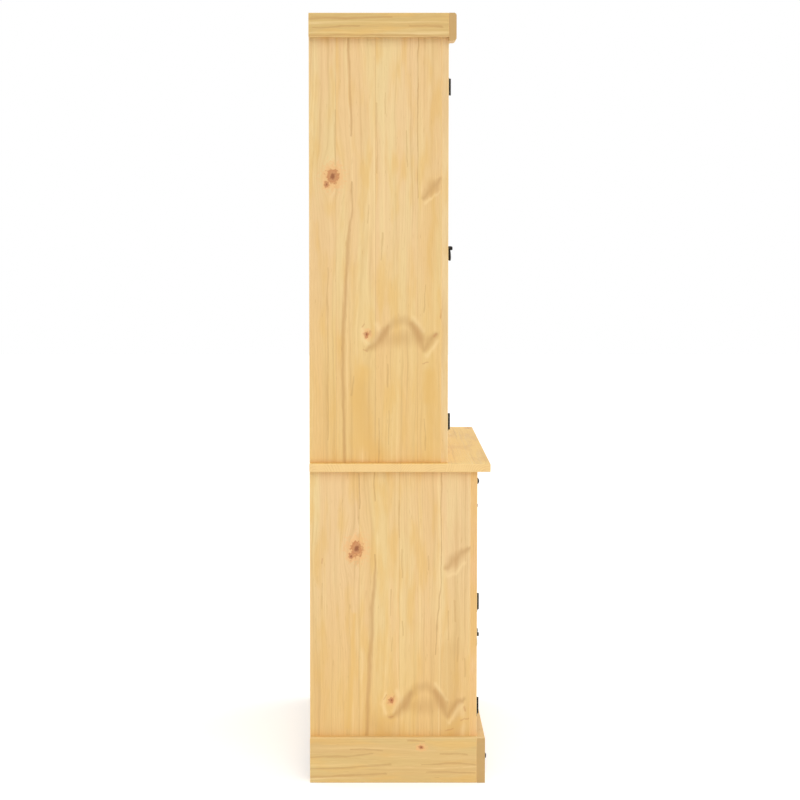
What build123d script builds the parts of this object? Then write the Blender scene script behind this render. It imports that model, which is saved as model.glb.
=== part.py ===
"""Two-part pine cabinet: a glazed hutch on a base with one wide drawer and two panelled doors.

Millimetres, +Z up, +X to the right, the front faces -Y.
The origin is on the floor, under the middle of the whole cabinet.
"""

from build123d import *
import os

# ------------------------------------------------------------------ overall sizes
CABINET_W = 800.0           # worktop, cornice and plinth, end to end
CABINET_H = 1700.0
WORKTOP_DEPTH = 400.0       # wall to the worktop's front edge
WORKTOP_Z = 715.0           # floor to the worktop's upper face
HUTCH_DEPTH = 306.0         # wall to the face of the hutch frame
FRONT_OVERHANG = 28.0       # worktop beyond the face of the base frame
SIDE_OVERHANG = 18.0        # worktop beyond the carcass side

# ------------------------------------------------------------------ boards
SIDE_T = 18.0
WORKTOP_T = 18.0
PANEL_T = 15.0              # floors, deck and shelves
HUTCH_TOP_T = 18.0
FRAME_T = 15.0              # face frames
STILE_W = 45.0              # face-frame stiles
HOUSING = 5.0               # how deep a panel's end sits in the side
EASE = 1.0                  # broken edge of every planed board
PLINTH_H = 102.0
PLINTH_T = 18.0
CORNICE_FRONT_H = 60.0
CORNICE_FRONT_T = 16.0
CORNICE_SIDE_H = 52.0
CORNICE_SIDE_T = 18.0
CORNICE_ROUND = 6.0         # rounded front edges of the cornice

# ------------------------------------------------------------------ shaped edges
CORNICE_RISE = 24.0         # how far the cornice's lower edge rises between its ends
PLINTH_RISE = 34.0          # how far the plinth's lower edge rises between its feet
EDGE_FOOT = 62.0            # straight length at each end of a shaped edge
EDGE_SWEEP = 70.0           # length of the double curve beside it

# ------------------------------------------------------------------ tongue-and-groove backs
BACK_T = 8.0
BACK_BOARD_W = 93.0         # nominal cover of one board
BACK_REBATE_W = 8.0         # step in the side panel that takes the back
BACK_PLAY = 0.4
TONGUE_L = 5.0
TONGUE_T = 3.0
TONGUE_PLAY = 0.2
BACK_V = 1.5                # chamfer along both edges of each back board

# ------------------------------------------------------------------ face-frame rails
SILL_REVEAL = 6.0           # base door sill above the plinth
BASE_SILL_RAIL_H = 48.0
BASE_TOP_RAIL_H = 50.0
BASE_MID_RAIL_H = 36.0
DRAWER_OPENING_H = 162.0
HUTCH_SILL_RAIL_H = 36.0
HUTCH_TOP_RAIL_H = 104.0
TENON_L = 22.0
TENON_T = 6.0
TENON_SHOULDER = 10.0

# ------------------------------------------------------------------ doors
DOOR_GAP = 2.0              # between a door or drawer front and what surrounds it
DOOR_T = 20.0
DOOR_STILE_W = 45.0
DOOR_TOP_RAIL_H = 45.0
DOOR_FOOT_RAIL_H = 55.0
GLASS_T = 4.0
GLASS_REBATE = 8.0
GLASS_LIP = 8.0             # wood in front of the pane
GLASS_PLAY = 0.5
BAR_W = 20.0                # glazing bars
CROSS_BARS = 2              # horizontal glazing bars in each hutch door
PANEL_GROOVE = 9.0
PANEL_TONGUE_T = 5.0
PANEL_PLAY = 0.2
PANEL_SETBACK = 8.0         # panel groove behind the door's face
PANEL_FIELD_REVEAL = 2.5    # raised field behind the door's face
PANEL_BEVEL_W = 28.0
PANEL_STEP = 1.0

# ------------------------------------------------------------------ shelves and battens
SHELF_SETBACK = 24.0        # shelf edge behind the back of the face frame
SHELF_PLAY = 0.4
BATTEN_W = 15.0
BATTEN_H = 18.0
SCREW_BATTEN = 20.0         # square strips under the worktop

# ------------------------------------------------------------------ drawer
DRAWER_REAR_GAP = 24.0      # behind the closed drawer
DRAWER_FRONT_T = 20.0
DRAWER_SIDE_T = 12.0
DRAWER_SIDE_H = 158.0
DRAWER_BACK_T = 12.0
DRAWER_BACK_DROP = 8.0      # drawer back below the top of the sides
DRAWER_BOTTOM_T = 6.0
DRAWER_BOTTOM_RISE = 8.0    # bottom above the lower edge of the sides
DRAWER_GROOVE = 6.0
DRAWER_FIT = 0.3            # running clearance under the drawer
GUIDE_FIT = 0.5             # running clearance beside the drawer
GUIDE_H = 25.0
KICKER_H = 24.0
KICKER_LAP = 18.0           # how far a kicker reaches over the drawer side
STOP_SIZE = 12.0
STOP_W = 50.0
STOP_LAP = 4.0              # how far a stop stands up behind the drawer front
TAIL_L = 14.0               # dovetail length into the drawer front
TAIL_W = 20.0               # width of a tail at its root
TAIL_FLARE = 2.2            # how much a tail widens each side towards its end
TAIL_PITCH = 36.0           # nominal spacing of the tails

# ------------------------------------------------------------------ keys, catches, studs
KEY_W = 40.0                # flat keys that locate the hutch on the worktop
KEY_T = 6.0
KEY_DEPTH = 10.0            # into the worktop and into the hutch side
KEY_FIT = 0.05
KEY_INSET = 60.0            # key centre from the front and the back of the hutch side
CATCH_W = 44.0
CATCH_T = 14.0
CATCH_H = 18.0              # on the rail
CATCH_LIP = 12.0            # behind the doors
CATCH_FIT = 0.3
STUD_R = 7.75
STUD_RISE = 5.0
STUD_BEVEL = 3.5            # hammered facets round the head
STUD_SHANK = 3.0
STUD_DEPTH = 11.0
STUD_FIT = 0.05

# ------------------------------------------------------------------ hinges
HINGE_H = 36.5
HINGE_INSET = 50.0          # hinge centre from the door's upper and lower edge
BARREL_R = 3.25             # corners of the eight-sided knuckles
BARREL_LIFT = 0.2           # barrel in front of the door's face
LEAF_W = 30.0
LEAF_T = 1.6
LEAF_WAIST = 22.0           # leaf height at its narrowest
LEAF_NOTCH_W = 22.5         # length of the notch in each long edge of a leaf
LEAF_NOTCH_SLOPE = 50.0     # degrees
KNUCKLE_GAP = 0.3
HINGE_PIN_R = 1.5
HINGE_PIN_ROOT = 0.15       # how far the pin is drawn into each end knuckle
PIN_FIT = 0.05

# ------------------------------------------------------------------ forged drop pulls
FACETS = 8                  # sides of forged roses, posts, drop ends and studs
DOOR_PULL_REACH = 24.0      # post beyond the door's face
DRAWER_PULL_REACH = 21.5
ROSE_R = 13.0               # plate under the post, to its corners
ROSE_T = 2.5
POST_R = 5.25               # corners of the eight-sided post
POST_BEVEL = 2.0            # hammered facets round the post's tip
SLOT_W = 4.4                # fork that holds the drop
SLOT_DEPTH = 13.0
PULL_PIN_R = 1.2
PULL_PIN_ROOT = 0.6         # how far each end of the pin is riveted into the fork
PULL_PIN_BACK = 6.5         # pin behind the post's tip
DROP_LUG_R = 3.2
DROP_LUG_T = 4.0
DROP_NECK_W = 4.0
DROP_NECK_T = 3.6
DROP_T = 6.0
DROP_TOP = 9.0              # shoulder of the drop below the pin
DROP_TOP_R = 2.8
DROP_END_R = 8.0
DROP_LENGTH = 30.5          # pin to the drop's lower end
DROP_EASE = 1.5
HUTCH_PULL_RISE = 11.5      # hutch pull pin above mid-door
BASE_PULL_DROP = 22.0       # base pull pin below mid-door

# ------------------------------------------------------------------ derived planes
BACK_Y = WORKTOP_DEPTH / 2
WORKTOP_FRONT_Y = -WORKTOP_DEPTH / 2
BASE_FACE_Y = WORKTOP_FRONT_Y + FRONT_OVERHANG
HUTCH_FACE_Y = BACK_Y - HUTCH_DEPTH
BACK_FACE_Y = BACK_Y - BACK_T             # inner face of the back boards
CARCASS_X = CABINET_W / 2 - SIDE_OVERHANG
INNER_X = CARCASS_X - SIDE_T
STILE_X = CARCASS_X - STILE_W             # inner edge of the face-frame stiles
WORKTOP_UNDER_Z = WORKTOP_Z - WORKTOP_T

BASE_SILL_Z = PLINTH_H + SILL_REVEAL
DRAWER_TOP_Z = WORKTOP_UNDER_Z - BASE_TOP_RAIL_H
DECK_Z = DRAWER_TOP_Z - DRAWER_OPENING_H
BASE_HEAD_Z = DECK_Z - BASE_MID_RAIL_H
HUTCH_SILL_Z = WORKTOP_Z + HUTCH_SILL_RAIL_H
HUTCH_HEAD_Z = CABINET_H - HUTCH_TOP_RAIL_H

DOOR_OUTER_X = STILE_X - DOOR_GAP         # hinge edge of a door
DOOR_INNER_X = DOOR_GAP / 2               # meeting edge of a door
HINGE_X = STILE_X - DOOR_GAP / 2
PULL_X = DOOR_INNER_X + DOOR_STILE_W / 2
DRAWER_X = STILE_X - DOOR_GAP             # outer face of the drawer side


# ------------------------------------------------------------------ helpers
def block(x0, x1, y0, y1, z0, z1):
    """A sharp box between two corners."""
    middle = Pos((x0 + x1) / 2, (y0 + y1) / 2, (z0 + z1) / 2)
    return middle * Box(x1 - x0, y1 - y0, z1 - z0)


def board(x0, x1, y0, y1, z0, z1, ease=EASE):
    """A planed board: a box with every edge broken."""
    return chamfer(block(x0, x1, y0, y1, z0, z1).edges(), ease)


def pair(shape):
    """A piece and its mirror image on the other side of the cabinet."""
    return [shape, mirror(shape, about=Plane.YZ)]


def front_plane(x, y, z):
    """A plane that faces the viewer: local x is +X, local y is +Z, and it extrudes to -Y."""
    return Plane(origin=(x, y, z), x_dir=(1, 0, 0), z_dir=(0, -1, 0))


def side_plane(x, y, z):
    """A plane that faces +X: local x is +Y and local y is +Z."""
    return Plane(origin=(x, y, z), x_dir=(0, 1, 0), z_dir=(1, 0, 0))


def rod(x, y, z, radius, length, axis):
    """A round bar centred on a point, along one axis."""
    turn = {"X": Rot(0, 90, 0), "Y": Rot(90, 0, 0), "Z": Rot(0, 0, 0)}[axis]
    return Pos(x, y, z) * turn * Cylinder(radius, length)


def write(name, *pieces):
    """Write one named piece, or a group of like pieces, to its own file."""
    solids = [solid for piece in pieces for solid in piece.solids()]
    shape = solids[0] if len(solids) == 1 else Compound(solids)
    shape.label = name
    export_step(shape, f"parts/{name}.step")


# ------------------------------------------------------------------ carcasses
def side_panel(face_y, z0, z1, housings):
    """The left side: housed for the panels between the sides, stepped for the back boards."""
    side = board(-CARCASS_X, -INNER_X, face_y + FRAME_T, BACK_Y, z0, z1)
    side -= block(-INNER_X - BACK_REBATE_W, -INNER_X + EASE, BACK_FACE_Y, BACK_Y + EASE, z0 - EASE, z1 + EASE)
    for low, high in housings:
        side -= block(-INNER_X - HOUSING, -INNER_X + EASE, face_y + FRAME_T - EASE, BACK_FACE_Y, low, high)
    return side


def housed_panel(face_y, z0, z1):
    """A floor, deck or top whose ends sit in the housings of both sides."""
    reach = INNER_X + HOUSING
    return block(-reach, reach, face_y + FRAME_T, BACK_FACE_Y, z0, z1)


def back_boards(z0, z1):
    """Upright tongue-and-groove boards that fill the step in both sides."""
    half = INNER_X + BACK_REBATE_W - BACK_PLAY
    count = max(2, round(2 * half / BACK_BOARD_W))
    pitch = 2 * half / count
    middle = BACK_Y - BACK_T / 2
    boards = []
    for i in range(count):
        left = -half + i * pitch
        right = left + pitch
        one = block(left, right, BACK_FACE_Y, BACK_Y, z0, z1)
        one = chamfer(one.edges().filter_by(Axis.Z), BACK_V)
        if i < count - 1:
            one += block(right, right + TONGUE_L, middle - TONGUE_T / 2, middle + TONGUE_T / 2, z0, z1)
        if i > 0:
            reach = TONGUE_T / 2 + TONGUE_PLAY
            one -= block(left, left + TONGUE_L + TONGUE_PLAY, middle - reach, middle + reach, z0, z1)
        boards.append(one)
    return boards


def face_frame(face_y, z0, z1, rails):
    """Two full-height stiles and the rails tenoned between them."""
    stile = board(-CARCASS_X, -STILE_X, face_y, face_y + FRAME_T, z0, z1)
    middle = face_y + FRAME_T / 2
    made = []
    for low, high in rails:
        reach = STILE_X + TENON_L
        tenon = block(-reach, reach, middle - TENON_T / 2, middle + TENON_T / 2,
                      low + TENON_SHOULDER, high - TENON_SHOULDER)
        made.append(board(-STILE_X, STILE_X, face_y, face_y + FRAME_T, low, high) + tenon)
        stile -= tenon
    return pair(stile), made


def shelf(face_y, top_z):
    """A loose shelf and the two battens that carry its ends."""
    front = face_y + FRAME_T + SHELF_SETBACK
    plank = board(-INNER_X + SHELF_PLAY, INNER_X - SHELF_PLAY, front, BACK_FACE_Y - SHELF_PLAY,
                  top_z - PANEL_T, top_z)
    under = top_z - PANEL_T
    batten = board(-INNER_X, -INNER_X + BATTEN_W, front + BATTEN_W, BACK_FACE_Y, under - BATTEN_H, under)
    return plank, pair(batten)


def shaped_edge(width, height, rise):
    """The front view of a board whose lower edge sweeps up between its two ends."""
    half = width / 2
    foot = half - EDGE_FOOT
    crown = foot - EDGE_SWEEP
    middle = (foot + crown) / 2
    with BuildSketch() as drawn:
        with BuildLine():
            Line((-half, 0), (-half, height))
            Line((-half, height), (half, height))
            Line((half, height), (half, 0))
            Line((half, 0), (foot, 0))
            Spline((foot, 0), (middle, rise / 2), (crown, rise), tangents=[(-1, 0), (-1, 0)])
            Line((crown, rise), (-crown, rise))
            Spline((-crown, rise), (-middle, rise / 2), (-foot, 0), tangents=[(-1, 0), (-1, 0)])
            Line((-foot, 0), (-half, 0))
        make_face()
    return drawn.sketch


# ------------------------------------------------------------------ doors
def door_frame(face_y, z0, z1):
    """The left door's stiles and rails, tenoned together."""
    x0, x1 = -DOOR_OUTER_X, -DOOR_INNER_X
    y0, y1 = face_y, face_y + DOOR_T
    middle = (y0 + y1) / 2
    stiles = [board(x0, x0 + DOOR_STILE_W, y0, y1, z0, z1), board(x1 - DOOR_STILE_W, x1, y0, y1, z0, z1)]
    left, right = x0 + DOOR_STILE_W, x1 - DOOR_STILE_W
    rails = []
    for low, high in ((z0, z0 + DOOR_FOOT_RAIL_H), (z1 - DOOR_TOP_RAIL_H, z1)):
        tenon = block(left - TENON_L, right + TENON_L, middle - TENON_T / 2, middle + TENON_T / 2,
                      low + TENON_SHOULDER, high - TENON_SHOULDER)
        rails.append(board(left, right, y0, y1, low, high) + tenon)
        stiles = [stile - tenon for stile in stiles]
    return stiles + rails


def daylight(z0, z1, margin):
    """The opening inside a left door's frame, widened all round by a margin: x0, x1, z0, z1."""
    return (-DOOR_OUTER_X + DOOR_STILE_W - margin, -DOOR_INNER_X - DOOR_STILE_W + margin,
            z0 + DOOR_FOOT_RAIL_H - margin, z1 - DOOR_TOP_RAIL_H + margin)


def bar_heights(z0, z1):
    """Heights of the cross bars, which share the daylight of a glazed door evenly."""
    _, _, low, high = daylight(z0, z1, 0)
    return [low + (high - low) * (i + 1) / (CROSS_BARS + 1) for i in range(CROSS_BARS)]


def glazing_bars(face_y, z0, z1):
    """One upright bar and the cross bars, half-lapped where they meet."""
    x0, x1, low, high = daylight(z0, z1, 0)
    centre = (x0 + x1) / 2
    lap_y = face_y + GLASS_LIP / 2
    back_y = face_y + GLASS_LIP
    half = BAR_W / 2
    upright = board(centre - half, centre + half, face_y, back_y, low, high)
    crossing = []
    for z in bar_heights(z0, z1):
        cross = board(x0, x1, face_y, back_y, z - half, z + half)
        cross -= block(centre - half, centre + half, lap_y, back_y, z - half, z + half)
        upright -= block(centre - half, centre + half, face_y, lap_y, z - half, z + half)
        crossing.append(cross)
    return [upright] + crossing


def glazed_door(face_y, z0, z1):
    """The left hutch door: frame and bars, the pane, and the beads that hold it in."""
    x0, x1, low, high = daylight(z0, z1, GLASS_REBATE)
    lip_y = face_y + GLASS_LIP
    bead_y = lip_y + GLASS_T
    back_y = face_y + DOOR_T
    step = block(x0, x1, lip_y, back_y + EASE, low, high)
    frame = [piece - step for piece in door_frame(face_y, z0, z1)]
    pane = block(x0 + GLASS_PLAY, x1 - GLASS_PLAY, lip_y, bead_y, low + GLASS_PLAY, high - GLASS_PLAY)
    width = GLASS_REBATE
    beads = [
        board(x0, x0 + width, bead_y, back_y, low, high),
        board(x1 - width, x1, bead_y, back_y, low, high),
        board(x0 + width, x1 - width, bead_y, back_y, low, low + width),
        board(x0 + width, x1 - width, bead_y, back_y, high - width, high),
    ]
    return frame + glazing_bars(face_y, z0, z1), pane, beads


def panelled_door(face_y, z0, z1):
    """The left base door: a grooved frame and the fielded panel that floats in it."""
    x0, x1, low, high = daylight(z0, z1, PANEL_GROOVE)
    groove_y = face_y + PANEL_SETBACK
    groove = block(x0, x1, groove_y, groove_y + PANEL_TONGUE_T, low, high)
    frame = [piece - groove for piece in door_frame(face_y, z0, z1)]
    tongue_y = groove_y + PANEL_PLAY
    panel = block(x0 + PANEL_PLAY, x1 - PANEL_PLAY, tongue_y, groove_y + PANEL_TONGUE_T - PANEL_PLAY,
                  low + PANEL_PLAY, high - PANEL_PLAY)
    centre_x, centre_z = (x0 + x1) / 2, (low + high) / 2
    hidden = 2 * (PANEL_GROOVE + PANEL_PLAY)
    wide, tall = x1 - x0 - hidden, high - low - hidden
    field_y = face_y + PANEL_FIELD_REVEAL
    bevel_end_y = field_y + PANEL_STEP
    raised = block(centre_x - wide / 2, centre_x + wide / 2, bevel_end_y,
                   groove_y + PANEL_TONGUE_T - PANEL_PLAY, centre_z - tall / 2, centre_z + tall / 2)
    face = raised.faces().sort_by(Axis.Y)[0]
    panel += chamfer(face.edges(), PANEL_BEVEL_W, tongue_y - bevel_end_y, reference=face)
    border = PANEL_BEVEL_W + PANEL_STEP
    half_w, half_h = wide / 2 - border, tall / 2 - border
    panel += block(centre_x - half_w, centre_x + half_w, field_y, bevel_end_y,
                   centre_z - half_h, centre_z + half_h)
    return frame, panel


# ------------------------------------------------------------------ ironwork
def faceted(radius):
    """The outline of a forged round: an even polygon with a flat at each side."""
    return RegularPolygon(radius, FACETS, rotation=180 / FACETS)


def hinge(face_y, z):
    """A surface hinge for a left door: the leaf on the frame, with its pin, and the leaf on the door."""
    axis_y = face_y - BARREL_R - BARREL_LIFT
    reach = BARREL_R + KNUCKLE_GAP
    knuckle = (HINGE_H - 2 * KNUCKLE_GAP) / 3
    bottom = z - HINGE_H / 2
    spans = [(bottom + i * (knuckle + KNUCKLE_GAP), bottom + i * (knuckle + KNUCKLE_GAP) + knuckle)
             for i in range(3)]
    notch_depth = (HINGE_H - LEAF_WAIST) / 2
    notch_z = (HINGE_H - notch_depth) / 2
    notch = Trapezoid(LEAF_NOTCH_W, notch_depth, LEAF_NOTCH_SLOPE)
    outline = Rectangle(LEAF_W, HINGE_H) - Pos(0, -notch_z) * notch - Pos(0, notch_z) * Rot(0, 0, 180) * notch
    leaves = []
    for side, own in ((-1, (0, 2)), (1, (1,))):
        leaf = extrude(front_plane(-HINGE_X + side * LEAF_W / 2, face_y, z) * outline, LEAF_T)
        for i, (low, high) in enumerate(spans):
            if i in own:
                leaf += Pos(-HINGE_X, axis_y, low) * extrude(faceted(BARREL_R), high - low)
            else:
                leaf -= block(-HINGE_X - reach, -HINGE_X + reach, face_y - 2 * reach, face_y,
                              low - KNUCKLE_GAP, high + KNUCKLE_GAP)
        leaves.append(leaf)
    on_frame, on_door = leaves
    pin_length = knuckle + 2 * (KNUCKLE_GAP + HINGE_PIN_ROOT)
    on_frame += rod(-HINGE_X, axis_y, z, HINGE_PIN_R, pin_length, "Z")
    on_door -= rod(-HINGE_X, axis_y, z, HINGE_PIN_R + PIN_FIT, HINGE_H, "Z")
    return on_frame, on_door


def drop_pull(x, face_y, z, reach):
    """A drop pull: the forked post on its rose with the pin riveted through it, and the drop."""
    pin_y = face_y - reach + PULL_PIN_BACK
    plane = front_plane(x, face_y, z)
    rose = extrude(plane * faceted(ROSE_R), ROSE_T)
    rose = chamfer(rose.faces().sort_by(Axis.Y)[0].edges(), ROSE_T / 2)
    post = extrude(plane * faceted(POST_R), reach)
    post = chamfer(post.faces().sort_by(Axis.Y)[0].edges(), POST_BEVEL)
    post += rose
    post -= block(x - SLOT_W / 2, x + SLOT_W / 2, face_y - reach - POST_R, face_y - reach + SLOT_DEPTH,
                  z - POST_R, z + POST_R)
    post += rod(x, pin_y, z, PULL_PIN_R, SLOT_W + 2 * PULL_PIN_ROOT, "X")

    outline = make_hull((
        Pos(0, -DROP_TOP - DROP_TOP_R) * faceted(DROP_TOP_R)
        + Pos(0, -DROP_LENGTH + DROP_END_R) * faceted(DROP_END_R)
    ).edges())
    drop = extrude(front_plane(x, pin_y, z) * outline, DROP_T / 2, both=True)
    drop = chamfer(drop.faces().filter_by(Axis.Y).edges(), DROP_EASE)
    drop += block(x - DROP_NECK_W / 2, x + DROP_NECK_W / 2, pin_y - DROP_NECK_T / 2, pin_y + DROP_NECK_T / 2,
                  z - DROP_TOP - DROP_TOP_R, z)
    drop += extrude(side_plane(x, pin_y, z) * faceted(DROP_LUG_R), DROP_LUG_T / 2, both=True)
    drop -= rod(x, pin_y, z, PULL_PIN_R + PIN_FIT, 2 * POST_R, "X")
    return post, drop


def stud(x, face_y, z):
    """A forged iron stud with a square shank, and the hole that the shank fills."""
    head = extrude(front_plane(x, face_y, z) * faceted(STUD_R), STUD_RISE)
    head = chamfer(head.faces().sort_by(Axis.Y)[0].edges(), STUD_BEVEL)
    half = STUD_SHANK / 2
    shank = block(x - half, x + half, face_y, face_y + STUD_DEPTH, z - half, z + half)
    half += STUD_FIT
    hole = block(x - half, x + half, face_y - EASE, face_y + STUD_DEPTH, z - half, z + half)
    return head + shank, hole


def door_catch(face_y, head_z):
    """A catch on the back of a head rail; its lip stops both doors flush with the frame."""
    rail_y, door_y = face_y + FRAME_T, face_y + DOOR_T + CATCH_FIT
    back_y = rail_y + CATCH_T
    body = block(-CATCH_W / 2, CATCH_W / 2, rail_y, back_y, head_z, head_z + CATCH_H)
    lip = block(-CATCH_W / 2, CATCH_W / 2, door_y, back_y, head_z - CATCH_LIP, head_z)
    return body + lip


# ------------------------------------------------------------------ drawer
def drawer_tails(side_z0, side_z1, front_y):
    """The left side's dovetails, which fill the sockets in the drawer front's end."""
    root_y = front_y + DRAWER_FRONT_T
    count = max(2, round((side_z1 - side_z0) / TAIL_PITCH))
    pitch = (side_z1 - side_z0) / count
    tails = []
    for i in range(count):
        middle = side_z0 + (i + 0.5) * pitch
        root, tip = TAIL_W / 2, TAIL_W / 2 + TAIL_FLARE
        shape = Polygon((root_y, middle - root), (root_y, middle + root), (root_y - TAIL_L, middle + tip),
                        (root_y - TAIL_L, middle - tip), align=None)
        tails.append(extrude(side_plane(-DRAWER_X, 0, 0) * shape, DRAWER_SIDE_T))
    return tails


def drawer():
    """Drawer front, sides, back and bottom, with half-blind dovetails at the front."""
    y0, y1 = BASE_FACE_Y, BACK_FACE_Y - DRAWER_REAR_GAP
    side_z0 = DECK_Z + DRAWER_FIT
    side_z1 = side_z0 + DRAWER_SIDE_H
    front = board(-DRAWER_X, DRAWER_X, y0, y0 + DRAWER_FRONT_T, DECK_Z + DOOR_GAP, DRAWER_TOP_Z - DOOR_GAP)
    side = block(-DRAWER_X, -DRAWER_X + DRAWER_SIDE_T, y0 + DRAWER_FRONT_T, y1, side_z0, side_z1)
    for tail in drawer_tails(side_z0, side_z1, y0):
        side += tail
        for socket in pair(tail):
            front -= socket

    inner = DRAWER_X - DRAWER_SIDE_T
    bottom_z = side_z0 + DRAWER_BOTTOM_RISE
    bottom_top = bottom_z + DRAWER_BOTTOM_T
    groove_z0, groove_z1 = bottom_z - PANEL_PLAY, bottom_top + PANEL_PLAY
    groove = block(-inner - DRAWER_GROOVE, inner + DRAWER_GROOVE, y0 + DRAWER_FRONT_T - DRAWER_GROOVE,
                   y1 + EASE, groove_z0, groove_z1)
    side -= groove
    front -= groove
    reach = inner + DRAWER_GROOVE - PANEL_PLAY
    bottom = block(-reach, reach, y0 + DRAWER_FRONT_T - DRAWER_GROOVE + PANEL_PLAY, y1, bottom_z, bottom_top)
    back = block(-inner, inner, y1 - DRAWER_BACK_T, y1, groove_z1, side_z1 - DRAWER_BACK_DROP)
    return front, pair(side), back, bottom


# ------------------------------------------------------------------ the base
def make_base():
    floor_span = (BASE_SILL_Z - PANEL_T, BASE_SILL_Z)
    deck_span = (DECK_Z - PANEL_T, DECK_Z)
    left, right = pair(side_panel(BASE_FACE_Y, 0, WORKTOP_UNDER_Z, [floor_span, deck_span]))
    write("base_side_left", left)
    write("base_side_right", right)
    write("base_floor", housed_panel(BASE_FACE_Y, *floor_span))
    write("drawer_deck", housed_panel(BASE_FACE_Y, *deck_span))
    write("base_back_boards", *back_boards(BASE_SILL_Z - BASE_SILL_RAIL_H, WORKTOP_UNDER_Z))

    rails = [(BASE_SILL_Z - BASE_SILL_RAIL_H, BASE_SILL_Z), (BASE_HEAD_Z, DECK_Z),
             (DRAWER_TOP_Z, WORKTOP_UNDER_Z)]
    stiles, rails = face_frame(BASE_FACE_Y, 0, WORKTOP_UNDER_Z, rails)
    stud_x = (CARCASS_X + STILE_X) / 2
    frame_stud, stud_hole = stud(-stud_x, BASE_FACE_Y, (DRAWER_TOP_Z + WORKTOP_UNDER_Z) / 2)
    stiles = [stile - hole for stile, hole in zip(stiles, pair(stud_hole))]
    for hole in pair(stud_hole):
        rails = [rail - hole for rail in rails]
    write("base_frame_stiles", *stiles)
    write("base_frame_rails", *rails)

    plank, battens = shelf(BASE_FACE_Y, (BASE_SILL_Z + DECK_Z) / 2)
    write("base_shelf", plank)
    write("base_shelf_battens", *battens)

    plinth_face_y = BASE_FACE_Y - PLINTH_T
    plinth_x = CARCASS_X + PLINTH_T
    outline = shaped_edge(2 * plinth_x, PLINTH_H, PLINTH_RISE)
    plinth = extrude(front_plane(0, BASE_FACE_Y, 0) * outline, PLINTH_T)
    top_edges = plinth.faces().sort_by(Axis.Z)[-1].edges()
    plinth = chamfer(top_edges, EASE)
    plinth_stud, stud_hole = stud(-stud_x, plinth_face_y, PLINTH_H / 2)
    for hole in pair(stud_hole):
        plinth -= hole
    write("plinth_front", plinth)
    write("plinth_sides", *pair(board(-plinth_x, -CARCASS_X, BASE_FACE_Y, BACK_Y, 0, PLINTH_H)))
    write("iron_studs", *pair(frame_stud), *pair(plinth_stud))

    worktop = board(-CABINET_W / 2, CABINET_W / 2, WORKTOP_FRONT_Y, BACK_Y, WORKTOP_UNDER_Z, WORKTOP_Z)
    for mortise in keys(KEY_FIT):
        worktop -= mortise
    write("worktop", worktop)
    under = (WORKTOP_UNDER_Z - SCREW_BATTEN, WORKTOP_UNDER_Z)
    front_y = BASE_FACE_Y + FRAME_T
    write("worktop_battens",
          board(-INNER_X, INNER_X, front_y, front_y + SCREW_BATTEN, *under),
          board(-INNER_X, INNER_X, BACK_FACE_Y - SCREW_BATTEN, BACK_FACE_Y, *under))


def make_drawer():
    front, sides, back, bottom = drawer()
    write("drawer_front", front)
    write("drawer_sides", *sides)
    write("drawer_back", back)
    write("drawer_bottom", bottom)
    post, drop = drop_pull(0, BASE_FACE_Y, (DECK_Z + DRAWER_TOP_Z) / 2, DRAWER_PULL_REACH)
    write("drawer_pull_post", post)
    write("drawer_pull_drop", drop)

    y0 = BASE_FACE_Y + FRAME_T
    guide = board(-INNER_X, -DRAWER_X - GUIDE_FIT, y0, BACK_FACE_Y, DECK_Z, DECK_Z + GUIDE_H)
    kicker = board(-INNER_X, -DRAWER_X + KICKER_LAP, y0, BACK_FACE_Y, DRAWER_TOP_Z, DRAWER_TOP_Z + KICKER_H)
    write("drawer_guides", *pair(guide), *pair(kicker))
    stop_y = BASE_FACE_Y + DRAWER_FRONT_T + DRAWER_FIT
    stop_x = DRAWER_X / 2
    stop = block(-stop_x - STOP_W / 2, -stop_x + STOP_W / 2, stop_y, stop_y + STOP_SIZE,
                 DECK_Z, DECK_Z + DOOR_GAP + STOP_LAP)
    write("drawer_stops", *pair(stop))


# ------------------------------------------------------------------ the hutch
def keys(margin=0.0):
    """Four flat keys between the worktop and the ends of the hutch sides, or their wider mortises."""
    x = -(CARCASS_X + INNER_X) / 2
    half_t, half_w = KEY_T / 2 + margin, KEY_W / 2 + margin
    made = []
    for y in (HUTCH_FACE_Y + FRAME_T + KEY_INSET, BACK_Y - KEY_INSET):
        made += pair(block(x - half_t, x + half_t, y - half_w, y + half_w,
                           WORKTOP_Z - KEY_DEPTH, WORKTOP_Z + KEY_DEPTH))
    return made


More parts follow.
